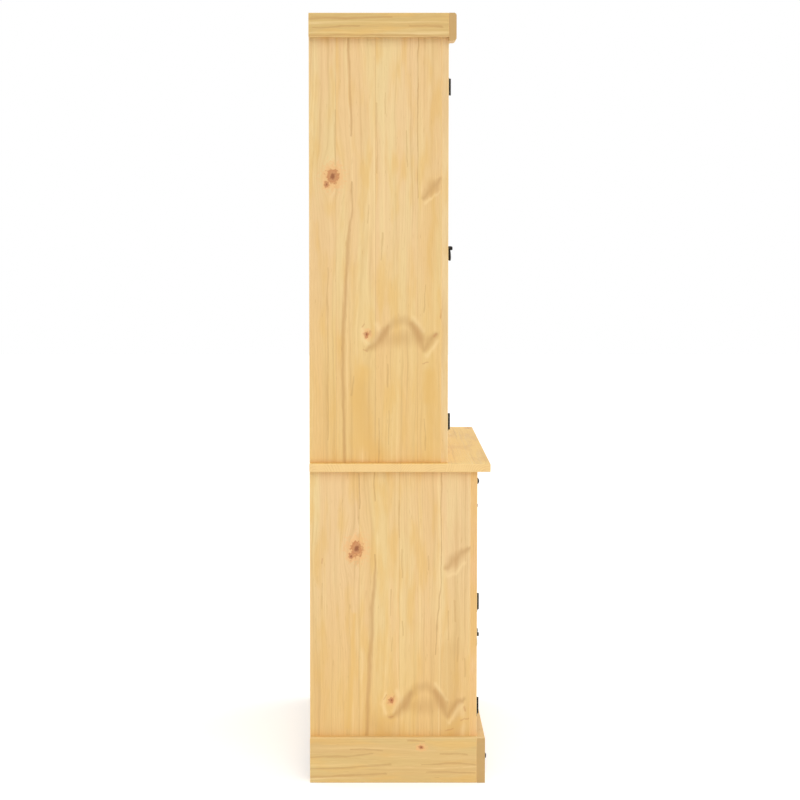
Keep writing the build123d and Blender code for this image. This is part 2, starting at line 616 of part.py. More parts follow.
def make_hutch(door_z0, door_z1):
    floor_span = (HUTCH_SILL_Z - PANEL_T, HUTCH_SILL_Z)
    top_span = (CABINET_H - HUTCH_TOP_T, CABINET_H)
    side = side_panel(HUTCH_FACE_Y, WORKTOP_Z, CABINET_H, [floor_span, (top_span[0], CABINET_H + EASE)])
    for mortise in keys(KEY_FIT):
        side -= mortise
    left, right = pair(side)
    write("hutch_side_left", left)
    write("hutch_side_right", right)
    write("hutch_keys", *keys())
    write("hutch_floor", housed_panel(HUTCH_FACE_Y, *floor_span))
    write("hutch_top", housed_panel(HUTCH_FACE_Y, *top_span))
    write("hutch_back_boards", *back_boards(WORKTOP_Z, CABINET_H))

    rails = [(WORKTOP_Z, HUTCH_SILL_Z), (HUTCH_HEAD_Z, CABINET_H)]
    stiles, rails = face_frame(HUTCH_FACE_Y, WORKTOP_Z, CABINET_H, rails)
    write("hutch_frame_stiles", *stiles)
    write("hutch_frame_rails", *rails)

    planks, battens = [], []
    for z in bar_heights(door_z0, door_z1):
        plank, both = shelf(HUTCH_FACE_Y, z + PANEL_T / 2)
        planks.append(plank)
        battens += both
    write("hutch_shelves", *planks)
    write("hutch_shelf_battens", *battens)

    cornice_x = CARCASS_X + CORNICE_SIDE_T
    outline = shaped_edge(2 * cornice_x, CORNICE_FRONT_H, CORNICE_RISE)
    cornice = extrude(front_plane(0, HUTCH_FACE_Y, CABINET_H - CORNICE_FRONT_H) * outline, CORNICE_FRONT_T)
    front_edges = cornice.faces().sort_by(Axis.Y)[0].edges()
    cornice = fillet([edge for edge in front_edges if abs(edge.center().X) < cornice_x - EASE], CORNICE_ROUND)
    write("cornice_front", cornice)
    write("cornice_sides", *pair(board(-cornice_x, -CARCASS_X, HUTCH_FACE_Y, BACK_Y,
                                       CABINET_H - CORNICE_SIDE_H, CABINET_H)))


# ------------------------------------------------------------------ doors on their hinges
def make_doors(name, face_y, z0, z1, pull_z, build):
    """A left door and its mirror image, with hinges and drop pulls. Returns the frame's leaves."""
    made = build(face_y, z0, z1)
    fixed, swinging = [], []
    for z in (z0 + HINGE_INSET, z1 - HINGE_INSET):
        on_frame, on_door = hinge(face_y, z)
        fixed.append(on_frame)
        swinging.append(on_door)
    post, drop = drop_pull(-PULL_X, face_y, pull_z, DOOR_PULL_REACH)
    pieces = {"frame": made[0], "hinge_leaves": swinging, "pull_post": [post], "pull_drop": [drop]}
    if len(made) == 3:
        pieces["glass"] = [made[1]]
        pieces["beads"] = made[2]
    else:
        pieces["panel"] = [made[1]]
    for part, shapes in pieces.items():
        mirrored = [mirror(shape, about=Plane.YZ) for shape in shapes]
        write(f"{name}_door_left_{part}", *shapes)
        write(f"{name}_door_right_{part}", *mirrored)
    both = [shape for piece in fixed for shape in pair(piece)]
    write(f"{name}_hinge_frame_leaves", *both)


os.makedirs("parts", exist_ok=True)

BASE_DOOR_Z = (BASE_SILL_Z + DOOR_GAP, BASE_HEAD_Z - DOOR_GAP)
HUTCH_DOOR_Z = (HUTCH_SILL_Z + DOOR_GAP, HUTCH_HEAD_Z - DOOR_GAP)

make_base()
make_drawer()
make_hutch(*HUTCH_DOOR_Z)
make_doors("base", BASE_FACE_Y, *BASE_DOOR_Z, sum(BASE_DOOR_Z) / 2 - BASE_PULL_DROP, panelled_door)
make_doors("hutch", HUTCH_FACE_Y, *HUTCH_DOOR_Z, sum(HUTCH_DOOR_Z) / 2 + HUTCH_PULL_RISE, glazed_door)
write("door_catches", door_catch(BASE_FACE_Y, BASE_HEAD_Z), door_catch(HUTCH_FACE_Y, HUTCH_HEAD_Z))
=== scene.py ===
"""Waxed pine, forged iron and glass for a two-part cabinet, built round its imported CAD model.

Metres, +Z up, the front faces -Y. The shaders work in millimetres of the same frame.
"""

import math

import bmesh
import bpy
from mathutils import Matrix, Vector, noise


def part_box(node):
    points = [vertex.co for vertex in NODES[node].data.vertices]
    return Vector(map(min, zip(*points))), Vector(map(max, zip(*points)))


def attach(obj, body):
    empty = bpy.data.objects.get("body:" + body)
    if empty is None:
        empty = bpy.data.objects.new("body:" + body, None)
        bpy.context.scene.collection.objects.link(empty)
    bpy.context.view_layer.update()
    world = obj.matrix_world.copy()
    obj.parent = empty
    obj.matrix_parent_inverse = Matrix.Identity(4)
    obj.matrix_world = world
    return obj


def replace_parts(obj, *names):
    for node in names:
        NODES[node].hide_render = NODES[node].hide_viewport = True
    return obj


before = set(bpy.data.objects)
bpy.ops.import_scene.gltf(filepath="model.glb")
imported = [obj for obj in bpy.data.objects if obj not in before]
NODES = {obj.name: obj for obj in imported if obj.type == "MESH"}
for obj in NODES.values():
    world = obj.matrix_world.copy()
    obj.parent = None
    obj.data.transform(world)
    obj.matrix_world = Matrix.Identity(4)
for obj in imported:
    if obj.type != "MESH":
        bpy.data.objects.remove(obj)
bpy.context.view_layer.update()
MM = 0.001


# -------------------- colours
def paint(red, green, blue):
    """An sRGB colour, 0 to 255, as the linear colour that a shader takes."""
    def linear(value):
        value /= 255
        return value / 12.92 if value <= 0.04045 else ((value + 0.055) / 1.055) ** 2.4
    return (linear(red), linear(green), linear(blue), 1.0)


YELLOW = paint(240, 213, 155)       # sapwood in two tones
PEACH = paint(240, 204, 150)
HONEY = paint(234, 190, 112)        # deeper boards and the foot of the sides
LATE = paint(205, 160, 98)          # latewood lines
BROWN = paint(190, 138, 80)         # streaks, pitch and bark marks, and painted shadow lines
PALE = paint(255, 226, 168)         # resin-free rings, and the painted highlight on the edges
ROSY = paint(242, 188, 126)         # stiles of the base frame, halos of knots
GOLD = paint(253, 214, 116)         # worktop
STRAW = paint(208, 174, 100)        # cornice and plinth
KNOT_RING = paint(194, 118, 66)
KNOT_CORE = paint(140, 74, 40)
END_GRAIN = paint(246, 208, 146)
DARK_END = paint(196, 158, 100)     # end grain that has taken more wax


# -------------------- shader graphs
MIX_SHARE, MIX_FIRST, MIX_SECOND = 0, 6, 7      # a colour Mix node's inputs
MIX_RESULT = 2


class Field:
    """A value that varies over a surface. Ordinary arithmetic on it adds math nodes."""

    def __init__(self, graph, socket):
        self.graph = graph
        self.socket = socket

    def __add__(self, other):
        return self.graph.math("ADD", self, other)

    def __sub__(self, other):
        return self.graph.math("SUBTRACT", self, other)

    def __rsub__(self, other):
        return self.graph.math("SUBTRACT", other, self)

    def __mul__(self, other):
        return self.graph.math("MULTIPLY", self, other)

    def __truediv__(self, other):
        return self.graph.math("DIVIDE", self, other)

    def __abs__(self):
        return self.graph.math("ABSOLUTE", self)

    def above(self, edge):
        return self.graph.math("GREATER_THAN", self, edge)

    def below(self, edge):
        return self.graph.math("LESS_THAN", self, edge)

    def least(self, other):
        return self.graph.math("MINIMUM", self, other)

    def most(self, other):
        return self.graph.math("MAXIMUM", self, other)

    def spread(self, low, high):
        """Takes a value from 0 to 1 to the range from low to high."""
        return self * (high - low) + low

    def ramp(self, low, high):
        """0 at low and 1 at high, with soft ends. It falls where low is the larger."""
        node = self.graph.node("MapRange", interpolation_type="SMOOTHSTEP", clamp=False)
        for socket, value in zip(node.inputs, (self, low, high)):
            self.graph.feed(socket, value)
        return Field(self.graph, node.outputs[0])


class Graph:
    """A node tree under construction. Each call adds a node and returns its output."""

    def __init__(self, tree):
        self.tree = tree

    def node(self, kind, **settings):
        made = self.tree.nodes.new("ShaderNode" + kind)
        for key, value in settings.items():
            setattr(made, key, value)
        return made

    def feed(self, socket, value):
        if isinstance(value, Field):
            self.tree.links.new(value.socket, socket)
        else:
            socket.default_value = value

    def math(self, operation, *values):
        node = self.node("Math", operation=operation)
        for socket, value in zip(node.inputs, values):
            self.feed(socket, value)
        return Field(self, node.outputs[0])

    def vectors(self, operation, *values):
        node = self.node("VectorMath", operation=operation)
        for socket, value in zip(node.inputs, values):
            self.feed(socket, value)
        plain = operation in ("DOT_PRODUCT", "DISTANCE")
        return Field(self, node.outputs["Value" if plain else "Vector"])

    def scaled(self, vector, size):
        """A fixed vector at a varying length."""
        node = self.node("VectorMath", operation="SCALE")
        node.inputs[0].default_value = vector
        self.feed(node.inputs["Scale"], size)
        return Field(self, node.outputs["Vector"])

    def join(self, x, y, z=0.0):
        node = self.node("CombineXYZ")
        for socket, value in zip(node.inputs, (x, y, z)):
            self.feed(socket, value)
        return Field(self, node.outputs[0])

    def split(self, vector):
        node = self.node("SeparateXYZ")
        self.feed(node.inputs[0], vector)
        return [Field(self, socket) for socket in node.outputs]

    def noise(self, x, y, z, detail=2.0):
        """A cloudy value about 0.5. Its lumps are about 1 long each way."""
        node = self.node("TexNoise")
        self.feed(node.inputs["Vector"], self.join(x, y, z))
        node.inputs["Scale"].default_value = 1.0
        node.inputs["Detail"].default_value = detail
        return Field(self, node.outputs[0])

    def chance(self, value):
        """An even random number from 0 to 1 for each value."""
        node = self.node("TexWhiteNoise", noise_dimensions="1D")
        self.feed(node.inputs["W"], value)
        return Field(self, node.outputs["Value"])

    def mix(self, first, second, share):
        node = self.node("Mix", data_type="RGBA")
        for index, value in ((MIX_SHARE, share), (MIX_FIRST, first), (MIX_SECOND, second)):
            self.feed(node.inputs[index], value)
        return Field(self, node.outputs[MIX_RESULT])

    def lay(self, colour, pattern, tones):
        """Lays tones over a colour. A tone is (shade, start, full, share) of the pattern's values."""
        for shade, start, full, share in tones:
            colour = self.mix(colour, shade, pattern.ramp(start, full) * share)
        return colour


class Surface(Graph):
    """A material's graph, with the place and the facing of the piece that wears it."""

    def __init__(self, name):
        self.material = bpy.data.materials.new(name)
        self.material.use_nodes = True
        super().__init__(self.material.node_tree)
        self.shader = self.tree.nodes["Principled BSDF"]
        self.here = self.node("TexCoord")

    def place(self):
        """x, y and z in millimetres. They move with the piece."""
        metres = Field(self, self.here.outputs["Object"])
        return dict(zip("xyz", self.split(self.vectors("DIVIDE", metres, (MM, MM, MM)))))

    def cloud(self, place, across, up=None, detail=2.0):
        """Noise fixed to the piece, with lumps of this size across and up in millimetres."""
        return self.noise(place["x"] / across, place["y"] / across, place["z"] / (up or across), detail)

    def facing(self):
        """How squarely the surface faces along x, y and z, from 0 to 1."""
        normal = self.vectors("ABSOLUTE", Field(self, self.here.outputs["Normal"]))
        return dict(zip("xyz", self.split(normal)))

    def use(self, group, **values):
        """Adds a node group and returns its outputs."""
        node = self.node("Group")
        node.node_tree = group
        for name, value in values.items():
            self.feed(node.inputs[name], value)
        return [Field(self, socket) for socket in node.outputs]

    def finish(self, colour, roughness, height, depth, **constants):
        """Joins the shader up, with a relief as deep as depth in metres, and returns the material."""
        bump = self.node("Bump")
        self.feed(bump.inputs["Height"], height)
        bump.inputs["Distance"].default_value = depth
        self.feed(self.shader.inputs["Normal"], Field(self, bump.outputs[0]))
        self.feed(self.shader.inputs["Base Color"], colour)
        self.feed(self.shader.inputs["Roughness"], roughness)
        for name, value in constants.items():
            self.shader.inputs[name.replace("_", " ")].default_value = value
        return self.material


# -------------------- marks and painted shadow lines drawn on a board
def nearest_stroke(graph, point, strokes):
    """How far a point lies from the nearest drawn stroke, in half-widths of that stroke.

    A stroke is a list of (across, along, half width) in millimetres.
    """
    nearest = None
    for stroke in strokes:
        for (ax, ay, aw), (bx, by, bw) in zip(stroke, stroke[1:]):
            run = Vector((bx - ax, by - ay, 0))
            here = graph.vectors("SUBTRACT", point, (ax, ay, 0))
            along = graph.vectors("DOT_PRODUCT", here, run / run.length_squared).most(0).least(1)
            off = graph.vectors("DISTANCE", here, graph.scaled(run, along))
            far = off / (along * (bw - aw) + aw)
            nearest = nearest.least(far) if nearest else far
    return nearest


# Marks on the left sides and on both side boards of the cornice and plinth, with two painted shadow
# lines among them: shade, how much of it shows, how far out it is full, in half-widths and below 0
# where it's soft all over, then strokes of (y, z, half width).
HUTCH_MARKS_AND_SHADOW = [
    (HONEY, 0.80, 0.0, [
        [(81, 918, 20), (92, 865, 26), (81, 766, 30), (47, 735, 26)],
        [(-66, 911, 18), (-62, 857, 15)]]),
    (LATE, 0.26, -1.0, [
        [(84, 880, 30), (76, 800, 40), (50, 745, 34)],
        [(-66, 911, 22), (-62, 857, 22), (-80, 770, 18)]]),
    (LATE, 0.20, -1.0, [[(172, 1640, 34), (172, 1060, 36)], [(-74, 1640, 34), (-74, 1150, 36)]]),
    (HONEY, 0.50, -1.0, [[(-70, 1330, 40), (-70, 720, 44)]]),
    (BROWN, 0.50, 0.0, [
        [(113, 1646, 3), (111, 1564, 4), (108, 1491, 4), (107, 1434, 2)],
        [(106, 1335, 2), (105, 1277, 4), (114, 1201, 6), (117, 1137, 6), (121, 1071, 6), (127, 976, 5),
         (126, 880, 5), (123, 766, 5), (122, 716, 4)],
        [(-39, 1649, 2), (-38, 1506, 1.5), (-39, 1300, 1.5)],
        [(47, 815, 1.5), (46, 766, 2), (47, 716, 2)]]),
    # painted shadow along the foot of the side, where it stands on the worktop
    (BROWN, 0.34, -0.6, [[(198, 716, 8), (-95, 716, 8)]]),
    (LATE, 0.45, 0.1, [
        [(142, 1491, 2), (143, 1373, 2)], [(159, 1147, 2), (160, 976, 2.5), (159, 766, 2)],
        [(52, 1506, 2), (51, 1354, 2)], [(33, 1529, 1.5), (33, 1483, 1.5)],
        [(-14, 1445, 2), (-15, 1369, 2)], [(69, 1285, 1.5), (70, 1243, 1.5)],
        [(39, 1224, 2), (41, 1163, 1.5)], [(27, 934, 2), (27, 884, 2)],
        [(107, 865, 2.5), (101, 907, 1.5)], [(24, 831, 1.5), (26, 758, 1.5)],
        [(-56, 1109, 1.5), (-53, 1048, 1.5)], [(-54, 812, 1.5), (-56, 743, 1.5)]]),
    (PALE, 0.40, -0.2, [
        [(84, 1012, 8), (82, 990, 9), (68, 978, 8)], [(52, 1022, 9), (44, 1004, 10), (56, 984, 8)],
        [(-30, 1036, 8), (-50, 1008, 8)], [(-60, 953, 8), (-82, 985, 6)],
        [(-56, 1288, 6), (-86, 1314, 4)]]),
    (BROWN, 0.30, 0.0, [
        [(8, 990, 24), (-12, 992, 24)],
        [(44, 990, 12), (26, 1014, 15), (8, 1028, 14), (-9, 1032, 14), (-24, 1024, 14),
         (-44, 992, 14)]]),
    (BROWN, 0.52, -0.2, [
        [(-88, 1341, 7), (-72, 1324, 20), (-52, 1299, 7)],
        [(72, 966, 7), (56, 975, 15), (42, 990, 22), (28, 1016, 8)],
        [(-26, 1022, 8), (-38, 1003, 19), (-47, 984, 19), (-53, 966, 8), (-66, 988, 15),
         (-80, 1000, 8)]]),
    (KNOT_RING, 0.55, -0.5, [
        [(76, 992, 3), (68, 1000, 5), (66, 1008, 3)], [(84, 1017, 2), (79, 1023, 2)],
        [(-75, 996, 4), (-80, 1002, 3)], [(-91, 1056, 2.5), (-90, 1036, 2.5)],
        [(80, 966, 2), (72, 963, 2)], [(-51, 935, 2), (-62, 938, 2)]]),
]
BASE_MARKS = [
    (HONEY, 0.70, 0.0, [
        [(37, 136, 14), (37, 105, 16)], [(-136, 136, 14), (-114, 109, 14)],
        [(102, 376, 7), (105, 269, 8), (113, 121, 9)]]),
    (LATE, 0.48, -1.0, [[(-112, 300, 34), (-120, 96, 62)], [(60, 130, 40), (20, 104, 44)]]),
    (LATE, 0.16, -1.0, [[(170, 560, 34), (172, 120, 44)], [(-125, 560, 30), (-125, 300, 34)]]),
    (BROWN, 0.50, 0.0, [
        [(56, 693, 2), (56, 632, 2)],
        [(55, 510, 2), (54, 471, 5), (57, 433, 6), (62, 388, 7), (62, 330, 7), (67, 273, 6),
         (69, 216, 6), (71, 159, 6), (74, 102, 6)],
        [(-93, 690, 1.5), (-92, 549, 1.5), (-91, 437, 1.5), (-84, 361, 2), (-80, 285, 1.5)],
        [(90, 690, 2), (89, 613, 1.5)]]),
    (LATE, 0.45, 0.1, [
        [(20, 433, 2), (19, 372, 1.5)], [(-5, 521, 2), (-5, 460, 2)], [(-5, 361, 2), (-7, 330, 2)],
        [(-108, 384, 2), (-108, 319, 2)], [(-122, 407, 2), (-123, 361, 2)],
        [(-145, 277, 2), (-146, 235, 1.5)], [(-64, 506, 2), (-63, 477, 2)],
        [(172, 445, 1.5), (173, 388, 1.5)], [(2, 632, 2), (1, 549, 2)],
        [(16, 323, 1.5), (17, 292, 1.5)], [(-131, 323, 1.5), (-129, 269, 1.5)]]),
    (PALE, 0.40, -0.2, [
        [(-108, 463, 8), (-125, 468, 6), (-145, 492, 6)], [(31, 197, 6), (38, 174, 8), (30, 152, 6)],
        [(6, 203, 8), (0, 184, 9), (14, 157, 8)], [(-80, 219, 6), (-104, 184, 6)],
        [(-136, 174, 8), (-122, 150, 9), (-112, 130, 6)]]),
    (BROWN, 0.30, 0.0, [
        [(-45, 168, 24), (-65, 168, 24)],
        [(-8, 168, 12), (-25, 197, 15), (-41, 210, 14), (-60, 214, 14), (-77, 203, 14),
         (-94, 172, 14)]]),
    (BROWN, 0.52, -0.2, [
        [(-156, 527, 5), (-138, 514, 12), (-119, 496, 19), (-103, 479, 8)],
        [(20, 144, 7), (1, 157, 15), (-13, 173, 22), (-25, 199, 8)],
        [(-79, 202, 8), (-91, 183, 19), (-100, 161, 15), (-107, 146, 8), (-121, 171, 14),
         (-143, 185, 7)]]),
    (KNOT_RING, 0.55, -0.5, [
        [(24, 174, 3), (15, 184, 5), (12, 191, 3)], [(35, 184, 2), (28, 193, 2)],
        [(24, 144, 2), (15, 146, 2)], [(-144, 167, 4), (-146, 159, 3)],
        [(-103, 113, 2), (-120, 117, 2)], [(-136, 137, 2), (-154, 142, 2)],
        [(172, 502, 2), (173, 491, 2)]]),
]
CORNICE_MARKS_AND_SHADOW = [
    (BROWN, 0.45, 0.0, [
        [(198, 1687, 3), (120, 1688, 3), (20, 1692, 2)], [(-20, 1672, 3), (-90, 1670, 3)],
        # the first stroke on the next line, along the foot of the board, is a painted shadow line; the
        # others are streaks
        [(198, 1651, 3), (60, 1652, 3), (-104, 1650, 3)], [(190, 1668, 2), (90, 1672, 2)]]),
]
PLINTH_MARKS = [
    (BROWN, 0.42, 0.0, [
        [(198, 57, 2), (120, 60, 3), (60, 66, 2)], [(198, 31, 2), (140, 33, 3), (20, 42, 3)],
        [(198, 12, 3), (120, 17, 3), (30, 20, 3)], [(-50, 40, 2), (-100, 44, 3), (-168, 42, 2)],
        [(-60, 24, 2), (-120, 25, 3), (-168, 22, 2)], [(-90, 66, 2), (-150, 64, 2)],
        [(40, 74, 2), (110, 76, 2)], [(-18, 96, 3), (-54, 95, 2)]]),
]
MARKS = {"hutch_side_left": HUTCH_MARKS_AND_SHADOW, "base_side_left": BASE_MARKS,
         "cornice_sides": CORNICE_MARKS_AND_SHADOW, "plinth_sides": PLINTH_MARKS}
KNOTS = {                           # (across, along, radius), in millimetres
    "hutch_side_left": [(148, 1347, 14), (161, 1329, 6), (74, 1000, 6)],
    "base_side_left": [(96, 524, 14), (108, 506, 6), (18, 182, 6)],
    "plinth_sides": [(80, -48, 5)],
}


# -------------------- pine
FAR_OFF = 99.0                      # no knot or joint near

KNOT_SLIM = 0.8                     # a knot's width for a length of 1
PUSH = 1.7                          # how hard a knot pushes the grain aside
PUSH_ALONG = 0.25                   # how fast that fades along the grain, with 1 for across it
PUSH_CORE = 0.8                     # how soft it is in the knot itself

KNOT_CELL = (130.0, 430.0)          # mean spacing of small wild knots, across and along
KNOT_SCATTER = 0.75                 # 0 lays them out evenly, 1 at random
KNOT_SIZES = (3.5, 9.5)             # radii, in millimetres
KNOT_SLIDE = 7.31                   # cells of knots for each 1 of a board's number


def knot_reach(graph, dx, dy, radius):
    """How many knot radii a point lies away, and how far the knot pushes the grain there aside."""
    dy = dy * KNOT_SLIM
    across, along = dx * dx, dy * dy
    area = radius * radius
    far = graph.math("SQRT", across + along) / radius
    aside = dx * (area * PUSH) / (across + along * PUSH_ALONG + area * PUSH_CORE)
    return far, aside


# Patterns in the wood: how far one lump runs along the grain and across it, in millimetres
BEND = (240, 60)
FLUTTER = (60, 14)
RING_FADE = (320, 34)
DRIFT = (420, 40)
BAND = (520, 8)
BLOTCH = (130, 26)
THREAD = (34, 0.9)
PORE = (24, 1.9)
KNOT_RAGS = (6, 6)

LUMP_DEPTH = 60                     # how far one lump runs into the board, in millimetres
BOARD_LAYER = 3.7                   # lumps for each 1 of a board's number
BLOTCH_LAYER, PORE_LAYER, RAGS_LAYER = 5, 7, 3.1        # keep these patterns apart from the others
BEND_BY, FLUTTER_BY = 17, 2.6       # how far the grain wanders, in millimetres
RAGS = (0.15, 1.85)                 # by how much a knot's ragged edge changes a distance to it

# Growth rings, in millimetres
HEART_ASIDE = (-40, 40)             # where the log's heart lies, from the middle of the board
HEART_BEHIND = (18, 63)             # and behind its face
HEART_LEAN = (-0.025, 0.025)        # its slope along the board
LEAN_FROM = 400                     # where along the board the slope has moved it nowhere
RING_SPACING = (3.4, 6.0)
RING_DRIFT = 13                     # how much wood grows before the spacing is another
LATEWOOD = (0.35, 0.88)             # share of a year in which a ring darkens
LATEWOOD_END = (1.0, 0.9)           # and in which it turns pale again
CHANCE_STEP = 17.31                 # between the random numbers of a board

# Tones: shade, the pattern's values where it starts and where it's full, and how much of it shows
BAND_TONES = [(LATE, 0.52, 0.80, 0.50), (PALE, 0.46, 0.22, 0.50)]
BLOTCH_TONES = [(HONEY, 0.46, 0.70, 0.60)]
THREAD_TONES = [(LATE, 0.50, 0.75, 0.22), (PALE, 0.48, 0.25, 0.22)]
KNOT_TONES = [(ROSY, 2.4, 1.0, 0.70), (KNOT_RING, 1.10, 0.70, 0.85), (PEACH, 0.80, 0.60, 0.18),
              (KNOT_CORE, 0.55, 0.15, 0.80)]
SEAM_TONES = [(BROWN, 0.6, 0.1, 0.5)]
DRIFT_SPAN, FADE_SPAN, PORE_SPAN = (0.36, 0.62), (0.25, 0.75), (0.70, 0.80)
HONEY_BOARDS = 0.35                 # the deepest-coloured board
# The last share below is how much of the painted highlight on the edges shows
RING_SHARE, PORE_SHARE, EDGE_HIGHLIGHT_SHARE = 0.17, 0.55, 0.55
END_SHARE, END_RING_SHARE = 0.8, 0.30
PINE_ROUGHNESS, SMOOTH_RING = (0.42, 0.58), 0.06
THREAD_RISE, RING_RISE, PORE_SINK = 0.5, 0.35, 0.6      # shares of the grain's relief

BOARD_INPUTS = {
    "along": ("Float", 0.0), "wide": ("Float", 0.0), "deep": ("Float", 0.0), "centre": ("Float", 0.0),
    "board": ("Float", 0.0), "wild": ("Float", 0.0), "knot": ("Float", FAR_OFF), "push": ("Float", 0.0),
    "honey": ("Float", 0.0), "tint": ("Color", HONEY), "tint_share": ("Float", 0.0),
    "cut": ("Float", 0.0), "broken": ("Float", 0.0), "seam": ("Float", FAR_OFF),
    "end": ("Color", END_GRAIN),
}


class PineGraph(Graph):
    """The graph inside the pine group.

    along, wide and deep run with the grain, across the face and into the board, in millimetres. board
    is a number of the board's own, and lane sets its patterns apart from other boards'.
    """

    def __init__(self, tree):
        super().__init__(tree)
        source = tree.nodes.new("NodeGroupInput")
        self.given = {name: Field(self, source.outputs[name]) for name in BOARD_INPUTS}
        self.along = self.given["along"]
        self.wide = self.given["wide"]
        self.deep = self.given["deep"]
        self.board = self.given["board"]
        self.lane = self.deep / LUMP_DEPTH + self.board * BOARD_LAYER

    def pattern(self, across, size, layer=None, detail=2.0):
        """Noise stretched along the grain."""
        layer = self.lane if layer is None else layer
        return self.noise(self.along / size[0], across / size[1], layer, detail)

    def own(self, number):
        """A random number from 0 to 1 that the whole board shares."""
        return self.chance(self.board + number * CHANCE_STEP)

    def wild_knot(self):
        """The nearest of the small knots that turn up here and there in a board."""
        slide = self.board * KNOT_SLIDE
        cell = self.node("TexVoronoi", voronoi_dimensions="2D")
        spot = self.join(self.wide / KNOT_CELL[0] + slide, self.along / KNOT_CELL[1] + slide)
        self.feed(cell.inputs["Vector"], spot)
        cell.inputs["Scale"].default_value = 1.0
        cell.inputs["Randomness"].default_value = KNOT_SCATTER
        x, y, _ = self.split(Field(self, cell.outputs["Position"]))
        luck, size, _ = self.split(Field(self, cell.outputs["Color"]))
        dx, dy = self.wide - (x - slide) * KNOT_CELL[0], self.along - (y - slide) * KNOT_CELL[1]
        far, aside = knot_reach(self, dx, dy, size.spread(*KNOT_SIZES))
        present = luck.below(self.given["wild"])
        return far + (1 - present) * FAR_OFF, aside * present

    def fibres(self):
        """Each fibre's place across the board, as it wanders and swings round knots, and the knots."""
        bend = (self.pattern(self.wide, BEND) - 0.5) * BEND_BY
        flutter = (self.pattern(self.wide, FLUTTER, detail=1) - 0.5) * FLUTTER_BY
        knot, aside = self.wild_knot()
        knot = knot.least(self.given["knot"])
        return self.wide + bend + flutter - aside - self.given["push"], knot

    def rings(self, fibre):
        """Growth rings, cut from a log whose heart lies behind the face and runs a little askew."""
        up = self.along - LEAN_FROM
        aside = fibre - self.given["centre"] - self.own(1).spread(*HEART_ASIDE)
        aside = aside - up * self.own(2).spread(*HEART_LEAN)
        behind = self.deep + self.own(3).spread(*HEART_BEHIND)
        behind = behind + up * self.own(4).spread(*HEART_LEAN)
        radius = self.math("SQRT", aside * aside + behind * behind)
        spacing = self.own(5).spread(*RING_SPACING)
        years = radius / spacing + self.noise(radius / RING_DRIFT, self.board, 0.0, 1)
        phase = self.math("FRACT", years)
        ring = phase.ramp(*LATEWOOD) * phase.ramp(*LATEWOOD_END)
        return ring * self.pattern(self.wide, RING_FADE, detail=1).ramp(*FADE_SPAN)

    def tones(self, fibre, ring):
        """The clear wood's colour, from its widest pattern to its finest two, which come with it."""
        colour = self.mix(YELLOW, PEACH, self.pattern(fibre, DRIFT).ramp(*DRIFT_SPAN))
        colour = self.mix(colour, HONEY, (self.own(6) * HONEY_BOARDS).most(self.given["honey"]))
        colour = self.mix(colour, self.given["tint"], self.given["tint_share"])
        colour = self.lay(colour, self.pattern(fibre, BAND), BAND_TONES)
        colour = self.lay(colour, self.pattern(fibre, BLOTCH, self.lane + BLOTCH_LAYER), BLOTCH_TONES)
        colour = self.mix(colour, LATE, ring * RING_SHARE)
        thread = self.pattern(fibre, THREAD, self.deep / THREAD[1])
        colour = self.lay(colour, thread, THREAD_TONES)
        pore = self.pattern(fibre, PORE, self.lane * PORE_LAYER, detail=1).ramp(*PORE_SPAN)
        return self.mix(colour, LATE, pore * PORE_SHARE), thread, pore

    def blemishes_and_highlight(self, colour, knot, ring):
        """Lays knots, glue joints, a painted highlight on the edges and end grain over the clear wood's
        colour.
        """
        ragged = self.pattern(self.wide, KNOT_RAGS, RAGS_LAYER, detail=3).spread(*RAGS)
        colour = self.lay(colour, knot * ragged, KNOT_TONES)
        colour = self.lay(colour, self.given["seam"], SEAM_TONES)
        # painted highlight: the chamfered edges are made paler, as if they caught the light
        colour = self.mix(colour, PALE, self.given["broken"] * EDGE_HIGHLIGHT_SHARE)
        end = self.mix(self.given["end"], LATE, ring * END_RING_SHARE)
        return self.mix(colour, end, self.given["cut"] * END_SHARE)


def pine_group():
    """The colour, roughness and relief of a pine board, from a place in it."""
    group = bpy.data.node_groups.new("pine_board", "ShaderNodeTree")
    for name, (kind, value) in BOARD_INPUTS.items():
        socket = group.interface.new_socket(name, in_out="INPUT", socket_type="NodeSocket" + kind)
        socket.default_value = value
    for name, kind in (("colour", "Color"), ("roughness", "Float"), ("height", "Float")):
        group.interface.new_socket(name, in_out="OUTPUT", socket_type="NodeSocket" + kind)
    graph = PineGraph(group)
    fibre, knot = graph.fibres()
    ring = graph.rings(fibre)
    colour, thread, pore = graph.tones(fibre, ring)
    target = group.nodes.new("NodeGroupOutput")
    graph.feed(target.inputs["colour"], graph.blemishes_and_highlight(colour, knot, ring))
    graph.feed(target.inputs["roughness"], thread.spread(*PINE_ROUGHNESS) - ring * SMOOTH_RING)
    graph.feed(target.inputs["height"], thread * THREAD_RISE + ring * RING_RISE - pore * PORE_SINK)
    return group


PINE = pine_group()


def middle(node, axis, paired):
    """The middle of a node along one axis, in millimetres. A mirrored pair counts as its right half."""
    index = "xyz".index(axis)
    values = [v.co[index] for v in NODES[node].data.vertices]
    if paired and axis == "x":
        values = [abs(value) for value in values]
    return (min(values) + max(values)) / 2 / MM


def joint_distance(graph, wide, pitch, start, edges):
    """The distance to the nearest glue joint between the boards of a panel."""
    nearest = None
    if pitch:
        share = graph.math("FRACT", (wide - start) / pitch)
        nearest = share.least(1 - share) * pitch
    for edge in edges:
        far = abs(wide - edge)
        nearest = nearest.least(far) if nearest else far
    return nearest if nearest else FAR_OFF


